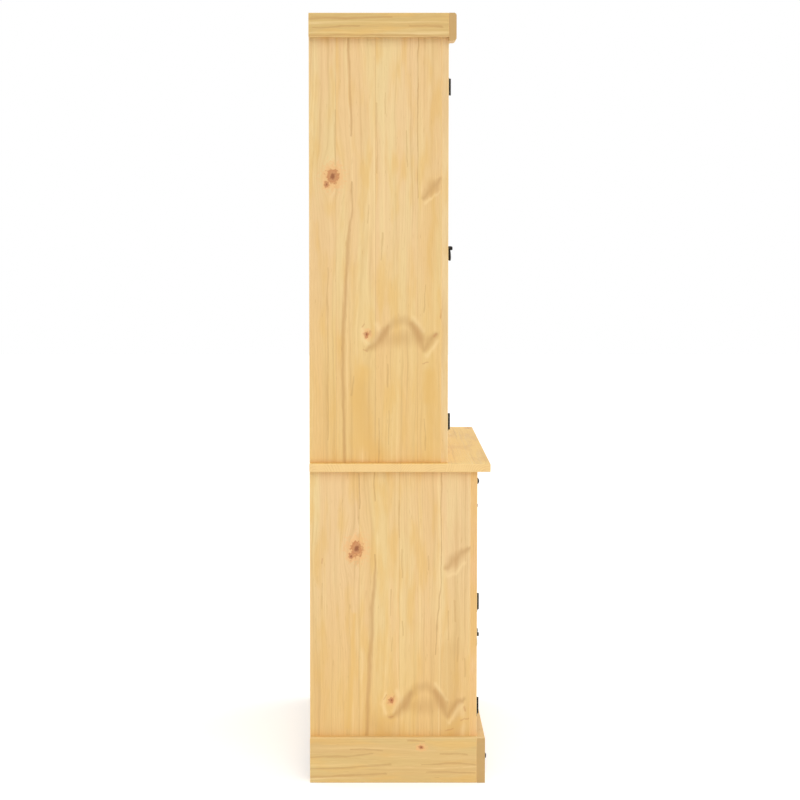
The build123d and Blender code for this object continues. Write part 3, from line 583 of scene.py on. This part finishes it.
def drawn_knots(graph, node, wide, along):
    """The knots that a node has at places of their own."""
    nearest, push = FAR_OFF, 0.0
    for across, up, size in KNOTS.get(node, ()):
        far, aside = knot_reach(graph, wide - across, along - up, size)
        nearest = far.least(nearest)
        push = aside + push
    return nearest, push


RAGS_WIDE, RAGS_LONG, RAGS_BY = 11, 50, 9       # ragged edges of the marks, in millimetres
MARK_END = 1.25                     # half-widths from a mark's middle to where it's gone


def drawn_marks(graph, node, y, z, along, wide, colour):
    """Lays a node's drawn marks and painted shadow lines, a little ragged, over its boards' colour."""
    ragged = (graph.noise(wide / RAGS_WIDE, along / RAGS_LONG, 0.0, 3) - 0.5) * RAGS_BY
    point = graph.join(y + ragged, z + ragged)
    for shade, share, soft, strokes in MARKS[node]:
        far = nearest_stroke(graph, point, strokes)
        colour = graph.lay(colour, far, [(shade, MARK_END, soft, share)])
    return colour


BOARD_STEP, PAIR_STEP, RAIL_STEP = 1.37, 5, 11  # between the numbers of boards, of a pair and of rails
EDGE_HIGHLIGHT_FACING = (0.93, 0.80)               # facing of a planed side and of an edge that gets the painted highlight
SAWN = (0.75, 0.9)                  # facing of a side that runs with the grain, and of end grain
HONEY_SHARE = 0.6                   # at the foot of the sides
GRAIN_DEPTH = 0.1 * MM
WAX_SHINE = 0.35


def pine(node, grain, across, pitch=None, start=0.0, edges=(), paired=False, turned=None,
         wild=0.35, seed=0.0, tint=HONEY, tint_share=0.0, honey_from=None, end=END_GRAIN):
    """Waxed pine for one node.

    grain and across are the axes along the fibres and across the face. pitch and start, or edges, part
    the node into boards that differ. paired takes x without its sign, as the node has a left and a
    right piece. turned(place) is 1 where a frame's rail runs across instead. wild is the share of small
    knots, tint and tint_share a stain, honey_from where a darker foot starts and is full, and seed the
    number that the boards' own numbers start from.
    """
    graph = Surface(f"pine_{node}")
    place, facing = graph.place(), graph.facing()
    board = place["x"].above(0) * PAIR_STEP + seed if paired else seed
    if paired:
        place["x"] = abs(place["x"])
    along, wide, cut = place[grain], place[across], facing[grain]
    if turned:
        rail = turned(place)
        along, wide = along + (wide - along) * rail, wide + (along - wide) * rail
        cut = cut + (facing[across] - cut) * rail
        board = rail * RAIL_STEP + board
    centre = middle(node, across, paired)
    if pitch:
        index = graph.math("FLOOR", (wide - start) / pitch)
        board = index * BOARD_STEP + board
        centre = index * pitch + (start + pitch / 2)
    for edge in edges:
        board = wide.above(edge) * BOARD_STEP + board
    deep_axis = ({"x", "y", "z"} - {grain, across}).pop()
    # painted highlight: faces that point along no axis squarely, the chamfered edges, are marked for a
    # paler colour
    broken = facing["x"].most(facing["y"]).most(facing["z"]).ramp(*EDGE_HIGHLIGHT_FACING)
    knot, push = drawn_knots(graph, node, wide, along)
    deep = place[deep_axis] - middle(node, deep_axis, paired)
    honey = along.ramp(*honey_from) * HONEY_SHARE if honey_from else 0.0
    seam = joint_distance(graph, wide, pitch, start, edges)
    colour, roughness, height = graph.use(
        PINE, along=along, wide=wide, deep=deep, centre=centre, board=board, wild=wild, knot=knot,
        push=push, tint=tint, tint_share=tint_share, broken=broken, end=end, honey=honey,
        cut=cut.ramp(*SAWN), seam=seam)
    if node in MARKS:
        colour = drawn_marks(graph, node, place["y"], place["z"], along, wide, colour)
    return graph.finish(colour, roughness, height, GRAIN_DEPTH, Specular_IOR_Level=WAX_SHINE)


# -------------------- which way each board's grain runs
DOOR_STILE_W = 45.0
DOOR_FOOT_H = 55.0                  # door rails
DOOR_TOP_H = 45.0
BAR_W = 20.0                        # glazing bars
CROSS_BARS = 2                      # level ones in each hutch door
BEAD_W = 8.0                        # beads round a pane
BACK_COUNT = 8                      # boards in each back
BACK_START, BACK_END = (corner.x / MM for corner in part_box("base_back_boards"))
BACK_PITCH = (BACK_END - BACK_START) / BACK_COUNT


def inside(value, low, high):
    """1 between low and high, 0 elsewhere."""
    return value.above(low) * (1 - value.above(high))


def door_rails(node, barred):
    """Tells a door's rails and cross bars from its stiles and upright bar."""
    low, high = (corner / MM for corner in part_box(node))
    near, far = sorted((abs(low.x), abs(high.x)))
    foot, head = low.z + DOOR_FOOT_H, high.z - DOOR_TOP_H
    bar_pitch = (head - foot) / (CROSS_BARS + 1)

    def turned(place):
        x, z = place["x"], place["z"]
        between = inside(x, near + DOOR_STILE_W, far - DOOR_STILE_W)
        if not barred:
            return between
        upright = inside(x, (near + far - BAR_W) / 2, (near + far + BAR_W) / 2)
        level = 1 - inside(z, foot, head)
        for i in range(CROSS_BARS):
            bar = foot + bar_pitch * (i + 1)
            level = level + inside(z, bar - BAR_W / 2, bar + BAR_W / 2)
        return between * (1 - upright * (1 - level))
    return turned


def frame_rails(node):
    """Tells the two level beads of a pane from the upright ones."""
    low, high = (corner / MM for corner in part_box(node))
    near, far = sorted((abs(low.x), abs(high.x)))
    return lambda place: inside(place["x"], near + BEAD_W, far - BEAD_W)


# What pine() takes for boards that run alike, then for each node
HUTCH_SIDE = dict(grain="z", across="y", edges=(-39, 54, 141), honey_from=(1350, 800))
BASE_SIDE = dict(grain="z", across="y", edges=(-92, 1, 90), honey_from=(560, 120))
BACK = dict(grain="z", across="x", pitch=BACK_PITCH, start=BACK_START)
STILES = dict(grain="z", across="x", paired=True)
RAILS = dict(grain="x", across="z")
FLAT = dict(grain="x", across="y")
SHELF = dict(FLAT, pitch=88)
SIDE_BOARDS = dict(grain="y", across="z", paired=True)
BOARDS = {
    "hutch_side_left": dict(HUTCH_SIDE, wild=0, seed=3),
    "base_side_left": dict(BASE_SIDE, wild=0, seed=8),
    "hutch_side_right": dict(HUTCH_SIDE, seed=21),
    "base_side_right": dict(BASE_SIDE, seed=26),
    "base_back_boards": dict(BACK, seed=31),
    "hutch_back_boards": dict(BACK, seed=47),
    "base_frame_stiles": dict(STILES, seed=5, tint=ROSY, tint_share=0.6),
    "hutch_frame_stiles": dict(STILES, seed=9, tint=PEACH, tint_share=0.5),
    "base_frame_rails": dict(RAILS, pitch=140, seed=12),
    "hutch_frame_rails": dict(RAILS, pitch=170, seed=15),
    "cornice_front": dict(RAILS, seed=18, tint=STRAW, tint_share=0.4, end=DARK_END),
    "cornice_sides": dict(SIDE_BOARDS, wild=0, seed=22, tint=STRAW, tint_share=0.65),
    "plinth_front": dict(RAILS, seed=25, tint=STRAW, tint_share=0.5, end=DARK_END),
    "plinth_sides": dict(SIDE_BOARDS, wild=0, seed=28, tint=STRAW, tint_share=0.5),
    "worktop": dict(FLAT, pitch=100, start=-200, seed=34, tint=GOLD, tint_share=0.75),
    "worktop_battens": dict(FLAT, pitch=190, seed=36, wild=0.2),
    "base_floor": dict(SHELF, seed=38),
    "base_shelf": dict(SHELF, start=20, seed=41),
    "base_shelf_battens": dict(SIDE_BOARDS, seed=43),
    "drawer_deck": dict(SHELF, start=40, seed=45),
    "hutch_floor": dict(SHELF, start=10, seed=49),
    "hutch_top": dict(SHELF, start=30, seed=51),
    "hutch_shelves": dict(SHELF, start=50, seed=53),
    "hutch_shelf_battens": dict(SIDE_BOARDS, seed=55),
    "hutch_keys": dict(SIDE_BOARDS, wild=0, seed=57),
    "drawer_front": dict(RAILS, seed=60, wild=0.6),
    "drawer_sides": dict(SIDE_BOARDS, seed=62),
    "drawer_back": dict(RAILS, seed=64),
    "drawer_bottom": dict(FLAT, pitch=110, seed=66),
    "drawer_guides": dict(SIDE_BOARDS, seed=68, pitch=90),
    "drawer_stops": dict(FLAT, paired=True, wild=0, seed=70),
}
for side, number in (("left", 0), ("right", 30)):
    base, hutch = f"base_door_{side}", f"hutch_door_{side}"
    BOARDS[f"{base}_panel"] = dict(grain="z", across="x", pitch=87, seed=75 + number, wild=0.5)
    BOARDS[f"{base}_frame"] = dict(
        STILES, pitch=95, seed=77 + number, turned=door_rails(f"{base}_frame", False))
    BOARDS[f"{hutch}_frame"] = dict(
        STILES, pitch=116, seed=79 + number, turned=door_rails(f"{hutch}_frame", True))
    BOARDS[f"{hutch}_beads"] = dict(
        STILES, pitch=116, seed=81 + number, wild=0, turned=frame_rails(f"{hutch}_beads"))

for node, facts in BOARDS.items():
    NODES[node].data.materials.clear()
    NODES[node].data.materials.append(pine(node, **facts))


# -------------------- iron, glass and plastic
IRON_DARK = paint(30, 28, 27)
IRON_WORN = paint(72, 67, 62)
IRON_RUST = paint(52, 36, 27)
RUST_TONES = [(IRON_RUST, 0.52, 0.72, 0.55)]    # as the tones of the wood
DENT_TONES = [(IRON_WORN, 0.25, 0.7, 0.30)]
EDGE_TONES = [(IRON_WORN, 0.93, 0.78, 0.35)]
IRON_DENT, IRON_BLOOM, IRON_GRIT = 4.2, 7, 0.5  # size of each, in millimetres
IRON_DEPTH, DENT_RISE, GRIT_RISE = 0.4 * MM, 0.8, 0.2
IRON_ROUGHNESS = (0.34, 0.59)
IRON_METALLIC = 0.8

GLASS_PALE = paint(214, 232, 224)
GLASS_GREEN = paint(196, 216, 206)
GLASS_DUST, GLASS_WAVE = (90, 140), (60, 110)   # lumps across and up, in millimetres
GLASS_TONES = [(GLASS_GREEN, 0.35, 0.7, 1.0)]
GLASS_DEPTH, GLASS_ROUGH, GLASS_IOR = 0.2 * MM, 0.04, 1.5
GLASS_BARE, DUST_SHARE = 0.02, 0.06             # how much of a pane shows from the front
SLANT_SHARE, SLANT_POWER = 0.7, 4.0             # how much more at a slant, and how late that comes

PLASTIC_LIGHT = paint(112, 78, 52)
PLASTIC_DARK = paint(96, 64, 42)
PLASTIC_GRAIN, PLASTIC_CLOUD = 0.7, 12          # in millimetres
PLASTIC_TONES = [(PLASTIC_DARK, 0.35, 0.65, 1.0)]
PLASTIC_DEPTH, PLASTIC_ROUGHNESS = 0.05 * MM, (0.35, 0.50)


def iron():
    """Forged iron, blackened and waxed: hammer marks, a brown bloom and rubbed edges."""
    graph = Surface("blackened_iron")
    place = graph.place()
    hammer = graph.node("TexVoronoi", feature="SMOOTH_F1")
    graph.feed(hammer.inputs["Vector"], graph.join(*(place[axis] / IRON_DENT for axis in "xyz")))
    hammer.inputs["Scale"].default_value = 1.0
    dents = Field(graph, hammer.outputs["Distance"])
    bloom = graph.cloud(place, IRON_BLOOM, detail=3)
    grit = graph.cloud(place, IRON_GRIT)
    facing = graph.facing()
    flat = facing["x"].most(facing["y"]).most(facing["z"])
    colour = graph.lay(IRON_DARK, bloom, RUST_TONES)
    colour = graph.lay(colour, dents, DENT_TONES)
    colour = graph.lay(colour, flat, EDGE_TONES)
    roughness, relief = bloom.spread(*IRON_ROUGHNESS), dents * DENT_RISE + grit * GRIT_RISE
    return graph.finish(colour, roughness, relief, IRON_DEPTH, Metallic=IRON_METALLIC)


def glass():
    """Clear drawn glass: it lets the light through and shows more where it's seen at a slant."""
    graph = Surface("window_glass")
    place = graph.place()
    dust = graph.cloud(place, *GLASS_DUST, detail=3)
    colour = graph.lay(GLASS_PALE, dust, GLASS_TONES)
    slant = Field(graph, graph.node("LayerWeight").outputs["Facing"])
    slanted = graph.math("POWER", slant, SLANT_POWER) * SLANT_SHARE
    graph.feed(graph.shader.inputs["Alpha"], slanted + dust * DUST_SHARE + GLASS_BARE)
    waves = graph.cloud(place, *GLASS_WAVE)
    return graph.finish(colour, dust * GLASS_ROUGH, waves, GLASS_DEPTH, IOR=GLASS_IOR)


def plastic():
    """Brown moulded catches."""
    graph = Surface("catch_plastic")
    place = graph.place()
    grain = graph.cloud(place, PLASTIC_GRAIN)
    colour = graph.lay(PLASTIC_LIGHT, graph.cloud(place, PLASTIC_CLOUD), PLASTIC_TONES)
    return graph.finish(colour, grain.spread(*PLASTIC_ROUGHNESS), grain, PLASTIC_DEPTH)


IRON, GLASS, PLASTIC = iron(), glass(), plastic()
IRON_WORDS = ("hinge", "pull", "studs")
for node, made in NODES.items():
    finish = None
    if any(word in node for word in IRON_WORDS):
        finish = IRON
    elif node.endswith("glass"):
        finish = GLASS
    elif node == "door_catches":
        finish = PLASTIC
    if finish:
        made.data.materials.clear()
        made.data.materials.append(finish)


# -------------------- forged and turned pieces
SHARP_ANGLE = math.radians(38)
HAMMER_SCALE = 260.0                # hammer marks, per metre
HAMMER_DEPTH = 0.25 * MM
TO_FRONT = Matrix.Rotation(math.pi / 2, 4, "X")         # turns +Z to -Y
TO_BACK = Matrix.Rotation(-math.pi / 2, 4, "X")
TO_SIDE = Matrix.Rotation(math.pi / 2, 4, "Y")          # turns +Z to +X


def add_piece(name, body, shape):
    """An iron piece from a bmesh in metres. It rides on one body."""
    mesh = bpy.data.meshes.new(name)
    bmesh.ops.recalc_face_normals(shape, faces=shape.faces)
    shape.to_mesh(mesh)
    shape.free()
    mesh.polygons.foreach_set("use_smooth", [True] * len(mesh.polygons))
    mesh.set_sharp_from_angle(angle=SHARP_ANGLE)
    mesh.materials.append(IRON)
    made = bpy.data.objects.new(name, mesh)
    bpy.context.scene.collection.objects.link(made)
    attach(made, body)
    return made


def round_profile(*points):
    """Radius and height in millimetres, as the two half-widths and the height of each ring."""
    return [(radius, radius, height) for radius, height in points]


def ringed(shape, profile, place, sides=16, rough=0.0, hollow=False):
    """Adds a form built up of oval rings along its own z axis. A hollow one closes on itself."""
    rings = []
    for half_x, half_y, height in profile:
        ring = []
        for i in range(sides):
            angle = 2 * math.pi * i / sides
            outward = Vector((half_x * math.cos(angle), half_y * math.sin(angle), 0)) * MM
            spot = place @ (outward + Vector((0, 0, height * MM)))
            dent = noise.noise(spot * HAMMER_SCALE) * rough
            ring.append(shape.verts.new(spot + place.to_3x3() @ outward.normalized() * dent))
        rings.append(ring)
    pairs = list(zip(rings, rings[1:]))
    if hollow:
        pairs.append((rings[-1], rings[0]))
    else:
        shape.faces.new(rings[0])
        shape.faces.new(rings[-1])
    for low, high in pairs:
        for i in range(sides):
            shape.faces.new((low[i - 1], low[i], high[i], high[i - 1]))


def at(x, y, z, turn):
    """A place in metres, with a turn."""
    return Matrix.Translation((x, y, z)) @ turn


# -------------------- hinge nails and studs
LEAF_H, LEAF_T = 36.5 * MM, 1.6 * MM
NAIL_SPREAD = 12.2 * MM             # outer nails above and below the middle of a leaf
NAIL_FROM_END, NAIL_FROM_BARREL = 4.8 * MM, 20.5 * MM
NAIL = round_profile((2.7, 0.0), (2.6, 0.45), (2.1, 1.0), (1.2, 1.35), (0.4, 1.45))
STUD = round_profile((7.7, 0.0), (7.6, 0.9), (7.0, 2.1), (5.9, 3.2), (4.3, 4.2), (2.4, 4.8), (0.7, 5.0))
STILE_W = 45.0 * MM
HEAD_RAIL_H = 50.0 * MM


def leaf_nails(shape, end_x, inward, front_y, middle_z):
    """Three domed nails in a hinge leaf: two at its free end and one near the barrel."""
    spots = ((NAIL_FROM_END, NAIL_SPREAD), (NAIL_FROM_END, -NAIL_SPREAD), (NAIL_FROM_BARREL, 0))
    for away, rise in spots:
        place = at(end_x + inward * away, front_y, middle_z + rise, TO_FRONT)
        ringed(shape, NAIL, place, sides=12, rough=HAMMER_DEPTH)


def add_hinge_nails(storey):
    """The nails of all hinge leaves of the base or the hutch."""
    low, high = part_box(f"{storey}_hinge_frame_leaves")
    front_y = high.y - LEAF_T
    heights = (low.z + LEAF_H / 2, high.z - LEAF_H / 2)
    on_frame = bmesh.new()
    for side, sign in (("left", -1), ("right", 1)):
        low_x, high_x = (corner.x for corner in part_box(f"{storey}_door_{side}_hinge_leaves"))
        on_door = bmesh.new()
        for z in heights:
            leaf_nails(on_frame, sign * high.x, -sign, front_y, z)
            leaf_nails(on_door, high_x if sign < 0 else low_x, sign, front_y, z)
        add_piece(f"{storey}_door_{side}_nails", f"{storey}_door_{side}", on_door)
    add_piece(f"{storey}_frame_nails", "root", on_frame)


def add_studs():
    """Hammered domes in the corners of the base frame and of the plinth."""
    frame_low, frame_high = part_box("base_frame_stiles")
    plinth_low, plinth_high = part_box("plinth_front")
    stud_x = frame_high.x - STILE_W / 2
    shape = bmesh.new()
    for sign in (-1, 1):
        for y, z in ((frame_low.y, frame_high.z - HEAD_RAIL_H / 2), (plinth_low.y, plinth_high.z / 2)):
            ringed(shape, STUD, at(sign * stud_x, y, z, TO_FRONT), sides=24, rough=2 * HAMMER_DEPTH)
    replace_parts(add_piece("hammered_studs", "root", shape), "iron_studs")


# -------------------- drop pulls
ROSE = round_profile((12.4, 0.0), (12.6, 0.8), (12.0, 1.6), (10.4, 2.2), (5.0, 2.7))
POST_R = 5.0
POST_COLLAR = ((6.2, 2.4), (5.3, 3.4), (POST_R, 4.6))
SLOT_HALF, SLOT_DEPTH = 2.2, 13.0   # fork that holds the drop, in millimetres
PIN_FROM_TIP = 6.5 * MM
RIVET = round_profile((1.0, -5.9), (2.0, -5.5), (2.2, -4.9), (1.2, -4.7),
                      (1.2, 4.7), (2.2, 4.9), (2.0, 5.5), (1.0, 5.9))
LUG_R, LUG_BORE_R = 2.95, 1.25
LUG = round_profile((LUG_BORE_R, -1.9), (2.4, -1.9), (LUG_R, -1.4),
                    (LUG_R, 1.4), (2.4, 1.9), (LUG_BORE_R, 1.9))
DROP = [                            # half-widths across and front to back, and height from the pin
    (1.9, 1.7, -1.7), (1.9, 1.7, -5.5), (2.4, 2.0, -8.0), (3.2, 2.5, -11.0), (4.6, 2.8, -15.5),
    (6.4, 3.0, -19.5), (7.6, 3.0, -23.0), (7.8, 2.9, -25.0), (7.1, 2.7, -27.3), (5.2, 2.1, -29.0),
    (2.4, 1.2, -29.8)]
PRONG_SIDES = 10
PRONG_EASE = ((1.6, 1.0), (0.5, 0.86), (0.0, 0.6))      # how far below the tip, and its width there


def prong(shape, place, side, base, tip):
    """One prong of the fork: a round post's segment beside the slot, eased at its end."""
    reach = math.acos(SLOT_HALF / POST_R)
    angles = [reach * (2 * i / (PRONG_SIDES - 1) - 1) for i in range(PRONG_SIDES)]
    outline = [Vector((side * POST_R * math.cos(a), POST_R * math.sin(a), 0)) for a in angles]
    centre = sum(outline, Vector()) / len(outline)
    rings = []
    for height, scale in ((base, 1.0), *((tip - below, scale) for below, scale in PRONG_EASE)):
        points = [centre + (point - centre) * scale + Vector((0, 0, height)) for point in outline]
        rings.append([shape.verts.new(place @ (point * MM)) for point in points])
    for low, high in zip(rings, rings[1:]):
        for i in range(PRONG_SIDES):
            shape.faces.new((low[i - 1], low[i], high[i], high[i - 1]))
    shape.faces.new(rings[0])
    shape.faces.new(rings[-1])


def add_pull(door, drop_body):
    """A smooth forged post, rose, rivet and drop in place of a node's plain ones."""
    low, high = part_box(f"{door}_pull_post")
    x, z = (low.x + high.x) / 2, (low.z + high.z) / 2
    reach = (high.y - low.y) / MM
    place = at(x, high.y, z, TO_FRONT)
    pin_y = low.y + PIN_FROM_TIP
    post = bmesh.new()
    ringed(post, ROSE, place, sides=28, rough=HAMMER_DEPTH)
    shaft = round_profile(*POST_COLLAR, (POST_R, reach - SLOT_DEPTH))
    ringed(post, shaft, place, sides=20)
    for side in (-1, 1):
        prong(post, place, side, reach - SLOT_DEPTH, reach)
    ringed(post, RIVET, at(x, pin_y, z, TO_SIDE), sides=12)
    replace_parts(add_piece(f"{door}_forged_post", door, post), f"{door}_pull_post")
    drop = bmesh.new()
    ringed(drop, LUG, at(x, pin_y, z, TO_SIDE), hollow=True)
    ringed(drop, DROP, at(x, pin_y, z, Matrix()), sides=20, rough=HAMMER_DEPTH)
    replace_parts(add_piece(f"{door}_forged_drop", drop_body, drop), f"{door}_pull_drop")


# -------------------- nails in the back boards
BACK_NAIL = round_profile((2.4, -0.3), (2.4, 0.25), (2.0, 0.45), (0.6, 0.5))
BACK_NAIL_FROM_MIDDLE = 26 * MM
BACK_NAILED_TO = {
    "base_back_boards": ("base_floor", "drawer_deck", "worktop_battens"),
    "hutch_back_boards": ("hutch_floor", "hutch_top"),
}


def add_back_nails(node):
    """Flat-headed nails that hold each back board to the floors and battens it covers."""
    low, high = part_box(node)
    shape = bmesh.new()
    for carrier in BACK_NAILED_TO[node]:
        z = sum(corner.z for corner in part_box(carrier)) / 2
        for i in range(BACK_COUNT):
            board_x = low.x + (i + 0.5) * BACK_PITCH * MM
            for x in (board_x - BACK_NAIL_FROM_MIDDLE, board_x + BACK_NAIL_FROM_MIDDLE):
                ringed(shape, BACK_NAIL, at(x, high.y, z, TO_BACK), sides=10, rough=HAMMER_DEPTH / 2)
    add_piece(f"{node}_nails", "root", shape)


for storey in ("base", "hutch"):
    add_hinge_nails(storey)
    for side in ("left", "right"):
        add_pull(f"{storey}_door_{side}", f"{storey}_{side}_drop")
    add_back_nails(f"{storey}_back_boards")
add_pull("drawer", "drawer_drop")
add_studs()


# -------------------- floor, lights and camera
def seen_directly(graph):
    """1 for what the camera or a mirror shows, 0 for light that falls on things."""
    rays = graph.node("LightPath").outputs
    return Field(graph, rays["Is Camera Ray"]).most(Field(graph, rays["Is Glossy Ray"]))


FLOOR_HALF = 14.0
FLOOR_DROP = 0.4 * MM               # below the cabinet's feet
FLOOR_GLOW = 0.30                   # lifts the floor to white where no shadow falls
FLOOR_PALE = paint(250, 250, 250)
FLOOR_GREY = paint(246, 246, 246)
FLOOR_CLOUD = 900                   # in millimetres
FLOOR_DEPTH, FLOOR_ROUGHNESS = 0.1 * MM, (0.85, 0.95)
WORLD_LIGHT = 0.575


def make_floor():
    """A wide pale floor that takes the cabinet's shadow."""
    mesh = bpy.data.meshes.new("studio_floor")
    signs = [(-1, -1), (1, -1), (1, 1), (-1, 1)]
    corners = [(x * FLOOR_HALF, y * FLOOR_HALF, -FLOOR_DROP) for x, y in signs]
    mesh.from_pydata(corners, [], [(0, 1, 2, 3)])
    floor = bpy.data.objects.new("studio_floor", mesh)
    bpy.context.scene.collection.objects.link(floor)
    graph = Surface("pale_floor")
    x, y, _ = graph.place().values()
    cloud = graph.noise(x / FLOOR_CLOUD, y / FLOOR_CLOUD, 0.0)
    colour = graph.mix(FLOOR_PALE, FLOOR_GREY, cloud)
    graph.shader.inputs["Emission Color"].default_value = (1, 1, 1, 1)
    graph.feed(graph.shader.inputs["Emission Strength"], seen_directly(graph) * FLOOR_GLOW)
    roughness = cloud.spread(*FLOOR_ROUGHNESS)
    mesh.materials.append(graph.finish(colour, roughness, cloud, FLOOR_DEPTH, Specular_IOR_Level=0.0))


def make_world():
    """White all round where it's seen, and an even soft light on what it falls on."""
    world = bpy.data.worlds.new("studio")
    bpy.context.scene.world = world
    world.use_nodes = True
    graph = Graph(world.node_tree)
    background = world.node_tree.nodes["Background"]
    background.inputs["Color"].default_value = (1, 1, 1, 1)
    graph.feed(background.inputs["Strength"], seen_directly(graph).most(WORLD_LIGHT))


def add_sun(name, toward, strength, angle):
    """A broad soft light that shines from one direction."""
    data = bpy.data.lights.new(name, "SUN")
    data.energy = strength
    data.angle = math.radians(angle)
    lamp = bpy.data.objects.new(name, data)
    lamp.rotation_mode = "QUATERNION"
    lamp.rotation_quaternion = Vector(toward).to_track_quat("Z", "Y")
    bpy.context.scene.collection.objects.link(lamp)


SUNS = {                            # where each light comes from, its strength and its width in degrees
    "key": ((-0.85, -0.15, 0.62), 1.0, 50),
    "front": ((0.25, -0.85, 0.5), 0.75, 60),
    "back": ((0.35, 0.8, 0.5), 0.6, 60),
}
SENSOR_W = 36.0                     # millimetres
CAMERA_AT = Vector((-4.716, 0.065, 1.242))
CAMERA_TILT = 0.0693                # radians below the horizon
CAMERA_F_PX = 1970.0                # focal length in pixels of the 800-pixel frame
FRAME_PX = 800.0
CENTRE_PX = (370.5, 361.0)          # where the middle of the view lies in the frame
CAMERA_END = 60.0                   # nothing farther away is drawn


def make_camera():
    """The photograph's view, from the left and a little above."""
    data = bpy.data.cameras.new("camera")
    data.sensor_width = SENSOR_W
    data.lens = data.sensor_width * CAMERA_F_PX / FRAME_PX
    data.clip_end = CAMERA_END
    data.shift_x = 0.5 - CENTRE_PX[0] / FRAME_PX
    data.shift_y = CENTRE_PX[1] / FRAME_PX - 0.5
    camera = bpy.data.objects.new("camera", data)
    camera.location = CAMERA_AT
    camera.rotation_mode = "QUATERNION"
    look = Vector((math.cos(CAMERA_TILT), 0, -math.sin(CAMERA_TILT)))
    camera.rotation_quaternion = look.to_track_quat("-Z", "Y")
    bpy.context.scene.collection.objects.link(camera)
    bpy.context.scene.camera = camera


make_floor()
make_world()
for name, (toward, strength, angle) in SUNS.items():
    add_sun(name, toward, strength, angle)
make_camera()
bpy.context.scene.view_settings.view_transform = "Standard"
